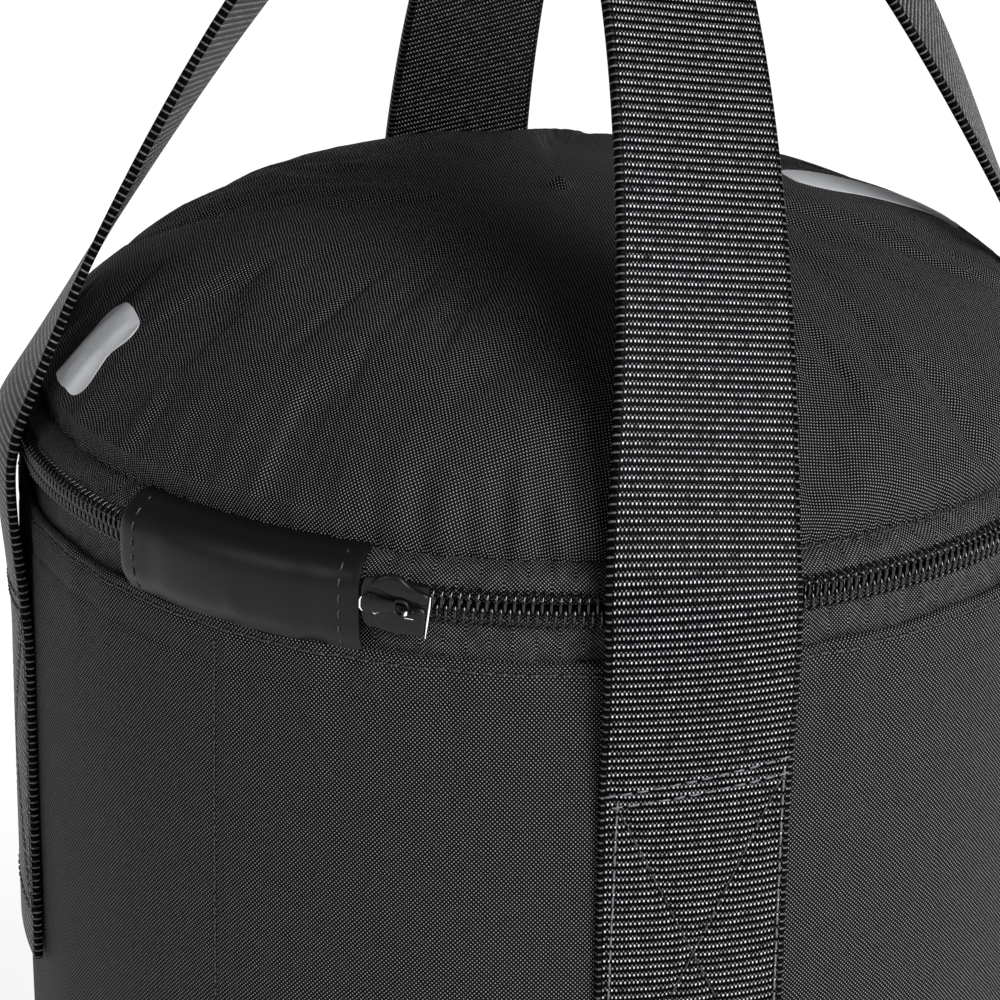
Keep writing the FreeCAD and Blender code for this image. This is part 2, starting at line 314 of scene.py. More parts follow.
def tape_material():
    """Herringbone zip tape: fine slanted lines that turn back every few millimetres, with painted highlights
    on their raised threads.
    """
    material, tree, shader = new_material("herringbone_zip_tape")
    u, v = cloth_axes(tree)
    turned_u = calc(tree, "PINGPONG", u, 4.4)
    slant = calc(tree, "ADD", calc(tree, "MULTIPLY", turned_u, 1.15), v)
    lines = calc(tree, "MULTIPLY_ADD", wave(tree, slant, 0.74), 0.5, 0.5)
    across = calc(tree, "SUBTRACT", v, turned_u)
    beads = calc(tree, "MULTIPLY_ADD", wave(tree, across, 0.9), 0.3, 0.7)
    height = calc(tree, "MULTIPLY", lines, beads)
    uneven = uneven_share(tree, 500.0, 1.5, 0.1)
    # painted highlight: the raised threads are mixed towards a light grey
    glint = calc(tree, "MULTIPLY", thread_glints(tree, height, 0.45, 0.95), uneven)
    fed(tree, shader, {"Base Color": mixed(tree, glint, rgba(tints().tape), rgba(tints().tape_glint)),
                       "Roughness": 0.55, "Specular IOR Level": 0.06,
                       "Normal": bumped(tree, height, 0.12)})
    return material


def plain_cloth(name, tint, pitch, roughness):
    """A finer cloth of one colour, for linings and bindings, with painted highlights on its thread crowns."""
    material, tree, shader = new_material(name)
    u, v = cloth_axes(tree)
    height = weave_height(tree, u, v, pitch, pitch)
    painted_glint_tint = tuple(min(1.0, c * 2.6 + 0.004) for c in tint)
    # painted highlight: the thread crowns are mixed towards a lighter tint
    ground = mixed(tree, thread_glints(tree, height, 0.5, 1.0), rgba(tint), rgba(painted_glint_tint))
    fed(tree, shader, {"Base Color": ground, "Roughness": roughness, "Normal": bumped(tree, height, 0.08)})
    return material


def coated_material():
    """Polyurethane-coated cloth: smooth, matt, a faint grain and cloudy wear."""
    material, tree, shader = new_material("polyurethane_coated_cloth")
    tint = tints().coated
    cloud = object_noise(tree, 60.0, 3.0)
    ground = mixed(tree, cloud, rgba(tuple(c * 0.8 for c in tint)), rgba(tuple(c * 1.3 for c in tint)))
    fed(tree, shader, {"Base Color": ground, "Roughness": 0.42, "Specular IOR Level": 0.2,
                       "Coat Weight": 0.05, "Coat Roughness": 0.3,
                       "Normal": bumped(tree, object_noise(tree, 2600.0), 0.03)})
    return material


def smooth_material(name, tint, scale, depth, **inputs):
    """One colour with a fine grain, for coil, thread and metal; inputs are the shader's own."""
    material, tree, shader = new_material(name)
    grain = bumped(tree, object_noise(tree, scale), depth)
    given = {key.replace("_", " "): value for key, value in inputs.items()}
    fed(tree, shader, {"Base Color": rgba(tint), "Normal": grain, **given})
    return material


def coil_material():
    """Nylon monofilament: black, clear enough to carry a sharp bright line."""
    return smooth_material("nylon_coil", tints().coil, 1500.0, 0.02, Roughness=0.11, IOR=1.53,
                           Specular_IOR_Level=0.5)


def metal_material():
    """Enamelled zinc casting: deep black, a satin gloss and soft pits."""
    return smooth_material("enamelled_zinc", tints().metal, 900.0, 0.03, Roughness=0.42,
                           Specular_IOR_Level=0.22, Coat_Weight=0.08, Coat_Roughness=0.2)


def edge_highlight_material():
    """Painted highlight: a light colour on the slider's edges where they catch the light."""
    return smooth_material("painted_edge_highlight", tints().zinc, 1500.0, 0.03, Roughness=0.3)


def thread_material(name, tint):
    """Bonded thread: a slight lustre along the twist."""
    return smooth_material(name, tint, 3000.0, 0.05, Roughness=0.45, Specular_IOR_Level=0.5)


def grained(name, tint, roughness, scale, depth):
    """A plain grained surface, for board, marks and floor."""
    material, tree, shader = new_material(name)
    grain = object_noise(tree, scale, 4.0)
    ground = mixed(tree, grain, rgba(tuple(c * 0.85 for c in tint)),
                   rgba(tuple(min(1.0, c * 1.1) for c in tint)))
    fed(tree, shader, {"Base Color": ground, "Roughness": roughness})
    if depth:
        fed(tree, shader, {"Normal": bumped(tree, grain, depth)})
    return material


MAKERS = {
    "oxford": oxford_material,
    "webbing": webbing_material,
    "tape": tape_material,
    "coil": coil_material,
    "coated": coated_material,
    "metal": metal_material,
    # painted highlight on the slider's edges
    "zinc": edge_highlight_material,
    "thread": lambda: thread_material("bonded_polyester_thread", tints().thread),
    "box_thread_highlight": lambda: thread_material("thread_with_painted_highlight", tints().box_thread_highlight),
    "lining": lambda: plain_cloth("polyester_lining", tints().lining, 0.5, 0.6),
    "binding": lambda: plain_cloth("grosgrain_binding", tints().binding, 0.7, 0.65),
    "board": lambda: grained("fibre_board", tints().board, 0.8, 400.0, 0.1),
    "mark": lambda: grained("silver_grey_print", tints().mark, 0.5, 300.0, 0.0),
    "floor": lambda: grained("matt_paper", tints().floor, 0.9, 3.0, 0.0),
}
made_materials = {}


def material(key):
    """Each material is made once, when it is first asked for."""
    if key not in made_materials:
        made_materials[key] = MAKERS[key]()
    return made_materials[key]


# ---------------------------------------------------------------- mesh helpers

def ease(low_edge, high_edge, value):
    t = np.clip((value - low_edge) / (high_edge - low_edge), 0.0, 1.0)
    return t * t * (3 - 2 * t)


def hump(value, centre, width):
    return np.exp(-((value - centre) / width) ** 2)


def on_bearing(radius, bearing, z):
    """Points from radius, bearing and height, in millimetres."""
    angle = np.radians(bearing)
    return np.stack(np.broadcast_arrays(radius * np.cos(angle), radius * np.sin(angle), z), -1)


def new_object(name, mesh, key):
    mesh.materials.clear()
    mesh.materials.append(material(key))
    obj = bpy.data.objects.new(name, mesh)
    bpy.context.scene.collection.objects.link(obj)
    return obj


def from_faces(name, points, faces, key, uvs=None, sharp=50.0):
    """Mesh object from points in millimetres, with outward faces and a cloth UV in metres."""
    mesh = bpy.data.meshes.new(name)
    mesh.from_pydata([tuple(p) for p in np.asarray(points, float) * MM], [], faces)
    if uvs is not None:
        layer = mesh.uv_layers.new(name="cloth")
        layer.data.foreach_set("uv", np.asarray(uvs, np.float32).ravel() * MM)
    work = bmesh.new()
    work.from_mesh(mesh)
    bmesh.ops.recalc_face_normals(work, faces=work.faces)
    work.to_mesh(mesh)
    work.free()
    mesh.shade_smooth()
    mesh.set_sharp_from_angle(angle=math.radians(sharp))
    return new_object(name, mesh, key)


def skinned(name, points, key, along, around, closed=True, sharp=50.0):
    """Skin a grid: points[i][j], i along the piece, j around its section, which closes.

    along[i] and around[j] are the cloth lengths; a closed piece joins its last row to its first.
    """
    rows, columns = points.shape[:2]
    along = np.asarray(along, float)
    around = np.asarray(around, float)
    faces = []
    uvs = []
    for i in range(rows if closed else rows - 1):
        a, b = i * columns, (i + 1) % rows * columns
        for j in range(columns):
            k = (j + 1) % columns
            faces.append((a + j, b + j, b + k, a + k))
            uvs += [(along[i], around[j]), (along[i + 1], around[j]),
                    (along[i + 1], around[j + 1]), (along[i], around[j + 1])]
    if not closed:
        for i in (0, rows - 1):
            faces.append(tuple(i * columns + j for j in range(columns)))
            uvs += [(along[i], around[j]) for j in range(columns)]
    return from_faces(name, points.reshape(-1, 3), faces, key, uvs, sharp)


def lengths_along(path):
    """Length along a line of points, from zero at its first."""
    return np.concatenate([[0.0], np.cumsum(np.linalg.norm(np.diff(path, axis=0), axis=1))])


def lengths_round(outline):
    """Length along a closed outline, with the closing length last."""
    outline = np.asarray(outline, float)
    steps = np.linalg.norm(np.roll(outline, -1, 0) - outline, axis=1)
    return np.concatenate([[0.0], np.cumsum(steps)])


def round_angles(count):
    """Even steps round a circle, in radians."""
    return 2 * np.pi * np.arange(count) / count


def turned(name, outline, key, start=0.0, end=360.0, step=1.0, shape=None, sharp=50.0):
    """Turn a closed radius-height outline about Z; shape(bearing, r, z) may move its points."""
    closed = end - start >= 360.0
    count = max(2, int(round((end - start) / step)))
    bearings = start + (end - start) * np.arange(count + 1) / count
    outline = np.asarray(outline, float)
    r, z = outline[:, 0], outline[:, 1]
    rows = bearings[:-1] if closed else bearings
    b, rr = np.meshgrid(rows, r, indexing="ij")
    zz = np.broadcast_to(z, b.shape)
    if shape:
        rr, zz = shape(b, rr, zz)
    along = np.radians(bearings) * np.mean(r)
    return skinned(name, on_bearing(rr, b, zz), key, along, lengths_round(outline), closed, sharp)


def boxed(name, sections, key, sharp=60.0):
    """Skin a list of closed loops, each a list of points, with end caps."""
    points = np.array(sections, float)
    along = lengths_along(points.mean(1))
    return skinned(name, points, key, along, lengths_round(points[0]), closed=False, sharp=sharp)


def tube(name, path, radius, key, sides=6):
    """Round bar along a short path, with closed ends drawn in to points."""
    path = np.asarray(path, float)
    sections = []
    for i, p in enumerate(path):
        t = path[min(i + 1, len(path) - 1)] - path[max(i - 1, 0)]
        t = t / np.linalg.norm(t)
        side = np.cross(t, (1.0, 0.0, 0.0) if abs(t[0]) < 0.9 else (0.0, 1.0, 0.0))
        side /= np.linalg.norm(side)
        other = np.cross(t, side)
        size = radius * (0.45 if i in (0, len(path) - 1) else 1.0)
        sections.append([p + size * (math.cos(a) * side + math.sin(a) * other)
                         for a in round_angles(sides)])
    return boxed(name, sections, key, sharp=80.0)


def joined(name, objects):
    """Join several meshes into one object."""
    work = bmesh.new()
    for obj in objects:
        work.from_mesh(obj.data)
    mesh = bpy.data.meshes.new(name)
    work.to_mesh(mesh)
    work.free()
    mesh.materials.append(objects[0].data.materials[0])
    for obj in objects:
        bpy.data.objects.remove(obj)
    made = bpy.data.objects.new(name, mesh)
    bpy.context.scene.collection.objects.link(made)
    return made


def rides(obj, body, slot, *nodes):
    """Put a finished piece on its body, and let it stand for its frame nodes."""
    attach(obj, body)
    if nodes:
        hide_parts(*nodes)
    return obj


def bends(obj, a, b, start, end, slot, *nodes):
    """A cloth piece that crosses a joint; start and end are not used."""
    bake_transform(obj)
    if nodes:
        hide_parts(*nodes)
    return obj


# ---------------------------------------------------------------- repeats along a path

def repeat_tree():
    """Geometry Nodes: repeat one element along a path, facing the path's own face direction."""
    known = bpy.data.node_groups.get("repeat_along_path")
    if known:
        return known
    tree = bpy.data.node_groups.new("repeat_along_path", "GeometryNodeTree")
    for name, kind in (("Path", "Geometry"), ("Element", "Object"), ("Count", "Int"),
                       ("Unevenness", "Float"), ("Seed", "Int"), ("Material", "Material")):
        tree.interface.new_socket(name, in_out="INPUT", socket_type="NodeSocket" + kind)
    tree.interface.new_socket("Geometry", in_out="OUTPUT", socket_type="NodeSocketGeometry")
    given = node(tree, "NodeGroupInput").outputs
    curve = node(tree, "GeometryNodeMeshToCurve", {"Mesh": given["Path"]}).outputs[0]
    evenly = node(tree, "GeometryNodeResampleCurve", {"Curve": curve, "Count": given["Count"]},
                  mode="COUNT").outputs[0]
    tangent = node(tree, "GeometryNodeInputTangent").outputs[0]
    outward = node(tree, "GeometryNodeInputNamedAttribute", {"Name": "face"},
                   data_type="FLOAT_VECTOR").outputs[0]
    first = node(tree, "FunctionNodeAlignRotationToVector", {"Vector": tangent}, axis="X").outputs[0]
    second = node(tree, "FunctionNodeAlignRotationToVector", {"Rotation": first, "Vector": outward},
                  axis="Z", pivot_axis="X").outputs[0]
    spread = given["Unevenness"]
    less = node(tree, "ShaderNodeMath", {0: 0.0, 1: spread}, operation="SUBTRACT").outputs[0]
    wobble = node(tree, "FunctionNodeRandomValue", {2: less, 3: spread, "Seed": given["Seed"]},
                  data_type="FLOAT").outputs[1]
    turn = node(tree, "ShaderNodeCombineXYZ", {2: wobble}).outputs[0]
    as_turn = node(tree, "FunctionNodeEulerToRotation", {0: turn}).outputs[0]
    final = node(tree, "FunctionNodeRotateRotation", {0: second, 1: as_turn},
                 rotation_space="LOCAL").outputs[0]
    element = node(tree, "GeometryNodeObjectInfo", {"Object": given["Element"]},
                   transform_space="ORIGINAL").outputs["Geometry"]
    placed = node(tree, "GeometryNodeInstanceOnPoints",
                  {"Points": evenly, "Instance": element, "Rotation": final}).outputs[0]
    real = node(tree, "GeometryNodeRealizeInstances", {"Geometry": placed}).outputs[0]
    painted = node(tree, "GeometryNodeSetMaterial",
                   {"Geometry": real, "Material": given["Material"]}).outputs[0]
    node(tree, "NodeGroupOutput", {0: painted})
    return tree


def path_object(points, outward):
    """A line of edges with a face direction at each point, in millimetres."""
    mesh = bpy.data.meshes.new("path")
    count = len(points)
    mesh.from_pydata([tuple(p) for p in np.asarray(points, float) * MM],
                     [(i, i + 1) for i in range(count - 1)], [])
    face = mesh.attributes.new("face", "FLOAT_VECTOR", "POINT")
    face.data.foreach_set("vector", np.asarray(outward, np.float32).ravel())
    obj = bpy.data.objects.new("path", mesh)
    bpy.context.scene.collection.objects.link(obj)
    return obj


def repeated(name, element, key, points, outward, count, unevenness=0.0):
    """Repeat an element along a path and return the result as a plain mesh object."""
    path = path_object(points, outward)
    tree = repeat_tree()
    modifier = path.modifiers.new("repeat", "NODES")
    modifier.node_group = tree
    given = {"Element": element, "Count": int(count), "Unevenness": float(unevenness),
             "Seed": sizes().seed, "Material": material(key)}
    for item in tree.interface.items_tree:
        if item.in_out == "INPUT" and item.name in given:
            modifier[item.identifier] = given[item.name]
    path.update_tag()
    view = bpy.context.evaluated_depsgraph_get()
    view.update()
    mesh = bpy.data.meshes.new_from_object(path.evaluated_get(view))
    path.modifiers.remove(modifier)
    bpy.data.objects.remove(path)
    if len(mesh.polygons) < count:
        raise RuntimeError(name + ": the repeat gave no geometry")
    mesh.shade_smooth()
    return new_object(name, mesh, key)


def stitch_element(long=None, rise=0.12):
    """One stitch: a short thread that dips into the cloth at both ends."""
    half = (long or sizes().stitch / MM) / 2
    path = [(-half, 0, -0.3), (-half * 0.8, 0, rise * 0.5), (-half * 0.3, 0, rise),
            (half * 0.3, 0, rise), (half * 0.8, 0, rise * 0.5), (half, 0, -0.3)]
    return tube("stitch_element", path, sizes().thread / MM / 2, "thread")


def stitched(name, lines, pitch=None, long=None, rise=0.12, key="thread"):
    """Stitch along several lines, each a pair of point and face arrays, as one mesh."""
    pitch = pitch or sizes().stitch_pitch / MM
    element = stitch_element(long, rise)
    made = []
    for points, outward in lines:
        run = np.linalg.norm(np.diff(points, axis=0), axis=1).sum()
        made.append(repeated(name, element, key, points, outward,
                             max(2, round(run / pitch)), 0.05))
    bpy.data.objects.remove(element)
    return joined(name, made) if len(made) > 1 else made[0]


# ---------------------------------------------------------------- shape of the cloth

def wall_swell(bearing, z):
    """How far the outer cloth stands from its plain cylinder: belly, sag, gathers, seam."""
    size = sizes()
    depth = WALL_TOP - z
    share = np.clip(depth / (WALL_TOP - WALL_FOOT), 0.0, 1.0)
    arch = np.sin(np.pi * share) ** 0.85
    a = np.radians(bearing)
    swell = size.belly / MM * arch
    swell = swell + arch * (0.7 * np.sin(3 * a + 1.1 + 2 * share) + 0.45 * np.sin(5 * a + 0.4 - 3 * share))
    folds = np.sin(13 * a + 4 * share + np.sin(3 * a)) + 0.7 * np.sin(21 * a - 5 * share)
    swell = swell + 0.22 * folds * arch * (1 - 0.5 * share)
    gathers = np.sin(41 * a + 0.8 * np.sin(5 * a)) + 0.7 * np.sin(67 * a + 1.3 * np.sin(3 * a))
    patchy = 0.35 + 0.65 * np.sin(4 * a + 0.7) ** 2
    swell = swell + size.pucker / MM * gathers * patchy * np.exp(-depth / 13.0) * ease(0.0, 2.5, depth)
    foot = z - WALL_FOOT
    swell = swell + 0.5 * np.sin(53 * a + np.sin(7 * a)) * np.exp(-foot / 9.0) * ease(0.0, 3.0, foot)
    swell = swell - 0.38 * hump(depth, 2.2, 0.75)
    swell = swell - 0.3 * hump(depth, 9.2, 1.0)
    aside = np.radians(bearing - 88.0) * WALL_R
    return swell - 0.35 * hump(aside, 0.0, 0.8) * ease(1.0, 4.0, depth)


def wall_point(bearing, z, lift=0.0):
    return on_bearing(WALL_R + wall_swell(bearing, z) + lift, bearing, z)


def outward_at(bearing):
    bearing = np.asarray(bearing, float)
    return on_bearing(1.0, bearing, np.zeros_like(bearing))


def dome_profile(count, radius, rise, power=2.2):
    """Radius and height of the lid from crown to seam, evenly along the cloth."""
    t = np.linspace(0.0, np.pi / 2, 600)
    r = radius * np.sin(t) ** (2 / power)
    h = rise * np.cos(t) ** (2 / power)
    run = np.concatenate([[0.0], np.cumsum(np.hypot(np.diff(r), np.diff(h)))])
    even = np.linspace(0.0, run[-1], count)
    return np.interp(even, run, r), np.interp(even, run, h), even


# Dents in the lid's cloth: bearing, radius, half width along the rim, depth.
LID_DENTS = ((117.0, 106.5, 7.0, 1.3), (125.0, 103.0, 10.0, 1.2), (110.0, 104.0, 6.0, 0.8),
             (121.0, 97.0, 12.0, -0.7), (96.0, 95.0, 15.0, 0.6), (150.0, 104.0, 10.0, 0.9),
             (205.0, 100.0, 14.0, 0.8), (300.0, 98.0, 16.0, 0.8), (20.0, 102.0, 12.0, 0.7))


def lid_relief(bearing, r, h):
    """Soft hollows and sewn gathers of the padded lid, along its outward direction."""
    a = np.radians(bearing)
    edge = np.exp(-h / 7.0)
    gathers = 0.6 * np.sin(37 * a + 1.2 * np.sin(4 * a)) + 0.5 * np.sin(59 * a + 0.9 * np.sin(5 * a + 1))
    relief = 0.30 * gathers * edge * (0.3 + 0.7 * np.sin(3 * a + 2.2) ** 2)
    relief = relief + 1.0 * hump(h, 4.5, 4.0)
    share = r / LID_R
    relief = relief + 0.55 * share * np.sin(4 * a + 0.9) * np.sin(6.0 * share)
    drawn = 0.25 + 0.75 * hump(bearing, 118.0, 16.0) + 0.4 * np.sin(2.5 * a + 0.4) ** 6
    pleats = np.sin(83 * a + 2.0 * np.sin(9 * a) + 0.05 * h) + 0.6 * np.sin(53 * a - 0.09 * h)
    relief = relief + 0.36 * drawn * pleats * hump(h, 6.0, 9.0)
    for place, at_r, wide, deep in LID_DENTS:
        around = (np.mod(bearing - place + 180.0, 360.0) - 180.0) * np.pi / 180.0 * r
        relief = relief - deep * np.exp(-(around / wide) ** 2 - ((r - at_r) / (wide * 0.6)) ** 2)
    return relief


CLOTH_FRAMES = 20


def settle(obj, pinned, cap):
    """Let the cloth find its shape under slight pressure; returns each point's move in millimetres."""
    group = obj.vertex_groups.new(name="sewn")
    group.add([int(i) for i in pinned], 1.0, "REPLACE")
    cloth = obj.modifiers.new("cloth", "CLOTH")
    for setting, value in (("quality", 6), ("mass", 0.25), ("tension_stiffness", 25.0),
                           ("compression_stiffness", 25.0), ("shear_stiffness", 8.0),
                           ("bending_stiffness", 1.5), ("use_pressure", True),
                           ("uniform_pressure_force", 4.0), ("shrink_min", -0.012),
                           ("vertex_group_mass", "sewn"), ("air_damping", 3.0)):
        setattr(cloth.settings, setting, value)
    cloth.settings.effector_weights.gravity = 0.0
    cloth.point_cache.frame_start = 1
    cloth.point_cache.frame_end = CLOTH_FRAMES
    rest = np.array([v.co for v in obj.data.vertices], float)
    for number in range(1, CLOTH_FRAMES + 1):
        bpy.context.scene.frame_set(number)
    view = bpy.context.evaluated_depsgraph_get()
    moved = np.array([v.co for v in obj.evaluated_get(view).data.vertices], float)
    obj.modifiers.remove(cloth)
    bpy.context.scene.frame_set(1)
    step = moved - rest
    far = np.linalg.norm(step, axis=1, keepdims=True)
    return step * np.minimum(1.0, cap * MM / np.maximum(far, 1e-9)) / MM


# ---------------------------------------------------------------- pieces

class Piece:
    """Common part of every operator: it reports an error if its piece isn't made."""
    bl_options = {"REGISTER", "UNDO"}

    def execute(self, context):
        before = len(bpy.data.objects)
        self.build()
        if len(bpy.data.objects) == before:
            raise RuntimeError(self.bl_label + ": nothing was made")
        return {"FINISHED"}


class SHOEBAG_OT_wall(Piece, bpy.types.Operator):
    """Build the padded wall with its folded rim, and its lining"""
    bl_idname = "shoebag.wall"
    bl_label = "Wall"

    def build(self):
        heights = np.concatenate([np.linspace(WALL_FOOT, 270.0, 44), np.linspace(272.0, 288.0, 9),
                                  np.linspace(289.0, WALL_TOP - 1.2, 16)])
        outside = [(WALL_R, z) for z in heights]
        fold = [(WALL_R - back, WALL_TOP - down)
                for back, down in ((0.12, 0.7), (0.4, 0.2), (0.9, 0.0), (1.4, 0.2), (1.75, 0.9))]
        hem_low = WALL_TOP - 8.3
        foam_inner = WALL_R - PADDING
        inside = [(WALL_R - 1.75, z) for z in (295.0, hem_low + 0.1)]
        inside += [(foam_inner, hem_low)] + [(foam_inner, z) for z in np.linspace(270.0, WALL_FOOT, 8)]

        def shape(bearing, r, z):
            near_outside = ease(WALL_R - 1.9, WALL_R - 0.2, r)
            fold_wave = 0.22 * np.sin(np.radians(bearing) * 29 + 1.0) * hump(z, WALL_TOP, 2.0)
            return r + wall_swell(bearing, z) * near_outside, z + fold_wave

        wall = turned("Wall_padded", outside + fold + inside, "oxford", step=0.6, shape=shape)
        rides(wall, "bag", "oxford_fabric", "wall_outer", "wall_foam")
        lining = band_piece("Wall_lining", "wall_lining", 112.7, 113.3, "lining")
        rides(lining, "bag", "lining", "wall_lining")
        tape = turned("Wall_seam_tape", [(112.0, 6.0), (112.6, 6.0), (112.6, 288.3), (112.0, 288.3)],
                      "binding", HINGE - 4.5, HINGE + 4.5)
        rides(tape, "bag", "binding", "wall_seam_tape")
        top = high("rim_binding")
        outline = ((111.7, 9.3), (112.6, 9.3), (112.6, 1.0), (115.1, 1.0), (115.1, 0.4), (114.6, 0.0),
                   (112.6, 0.0), (111.9, 0.3), (111.7, 0.9))
        rim = turned("Rim_binding", [(r, top - down) for r, down in outline], "binding")
        rides(rim, "bag", "binding", "rim_binding")


def band_piece(name, like, inner, outer, key):
    """A plain standing ring between two radii, as high as its frame node."""
    foot, top = low(like), high(like)
    steps = np.linspace(foot, top, 12)
    outline = [(outer, z) for z in steps] + [(inner, z) for z in reversed(steps)]
    return turned(name, outline, key, step=2.0)


class SHOEBAG_OT_base(Piece, bpy.types.Operator):
    """Build the base: outer cloth, board, lining and the corded seam"""
    bl_idname = "shoebag.base"
    bl_label = "Base"

    def build(self):
        plies = (("Base_cloth", "base_panel", "oxford", "oxford_fabric"),
                 ("Base_board", "base_board", "board", "board"),
                 ("Base_lining", "base_lining", "lining", "lining"))
        for name, like, key, slot in plies:
            radius = high(like, 0)
            foot, top = low(like), high(like)
            rings = [(radius * t, foot) for t in (0.0, 0.25, 0.5, 0.75, 0.95)]
            rings += [(radius, foot), (radius, top)]
            rings += [(radius * t, top) for t in (0.95, 0.75, 0.5, 0.25, 0.0)]
            rides(capped_disc(name, rings, key), "bag", slot, like)
        middle = (low("base_piping") + high("base_piping")) / 2
        half = (high("base_piping") - low("base_piping")) / 2
        ring = high("base_piping", 0) - half
        outline = [(ring + half * math.cos(a), middle + half * math.sin(a)) for a in round_angles(14)]
        cord = turned("Base_piping", outline, "binding", step=1.5)
        rides(cord, "bag", "binding", "base_piping")


def capped_disc(name, rings, key, columns=120):
    """A disc whose first and last rings are single points at its middle."""
    angles = round_angles(columns)
    inner = rings[1:-1]
    points = [(0.0, 0.0, rings[0][1])]
    for r, z in inner:
        points += [(r * math.cos(a), r * math.sin(a), z) for a in angles]
    points.append((0.0, 0.0, rings[-1][1]))
    faces = []
    last = len(inner) - 1
    for j in range(columns):
        k = (j + 1) % columns
        faces.append((0, 1 + k, 1 + j))
        for i in range(last):
            a, b = 1 + i * columns, 1 + (i + 1) * columns
            faces.append((a + j, a + k, b + k, b + j))
        faces.append((1 + last * columns + j, 1 + last * columns + k, len(points) - 1))
    uvs = [points[v][:2] for face in faces for v in face]
    return from_faces(name, points, faces, key, uvs)


def dome_shell(name, outer, inner, run, key):
    """A shell from two polar grids, crown to seam, joined along the seam and closed at the crown.

    outer and inner are arrays [ring][column][xyz]; ring 0 is the crown point repeated.
    """
    rings, columns = outer.shape[:2]
    points = [outer[0, 0]]
    points += list(outer[1:].reshape(-1, 3))
    second = len(points)
    points += [inner[0, 0]] + list(inner[1:].reshape(-1, 3))
    faces = []
    uvs = []
    angles = 2 * np.pi * np.arange(columns + 1) / columns

    def flat(i, j):
        return (run[i] * math.cos(angles[j]), run[i] * math.sin(angles[j]))

    def index(base, i, j):
        return base if i == 0 else base + 1 + (i - 1) * columns + j % columns

    for base in (0, second):
        for j in range(columns):
            faces.append((index(base, 0, 0), index(base, 1, j), index(base, 1, j + 1)))
            uvs += [(0.0, 0.0), flat(1, j), flat(1, j + 1)]
            for i in range(1, rings - 1):
                faces.append((index(base, i, j), index(base, i + 1, j),
                              index(base, i + 1, j + 1), index(base, i, j + 1)))
                uvs += [flat(i, j), flat(i + 1, j), flat(i + 1, j + 1), flat(i, j + 1)]
    seam = rings - 1
    for j in range(columns):
        faces.append((index(0, seam, j), index(second, seam, j),
                      index(second, seam, j + 1), index(0, seam, j + 1)))
        uvs += [flat(seam, j), flat(seam, j), flat(seam, j + 1), flat(seam, j + 1)]
    return from_faces(name, points, faces, key, uvs)


def dome_grid(r, h, columns, foot, relief=None):
    """Polar grid of a dome, from its profile."""
    bearing = 360.0 * np.arange(columns) / columns
    b, rr = np.meshgrid(bearing, r)
    hh = np.broadcast_to(np.asarray(h)[:, None], b.shape)
    points = on_bearing(rr, b, foot + hh)
    if relief is not None:
        slope = np.gradient(np.asarray(h)) + 1e-9
        run = np.gradient(np.asarray(r)) + 1e-9
        size = np.hypot(slope, run)
        out_r, out_h = -slope / size, run / size
        lift = relief(b, rr, hh)
        points = points + on_bearing(out_r[:, None] * lift, b, out_h[:, None] * lift)
    points[0] = points[0].mean(0)
    return points


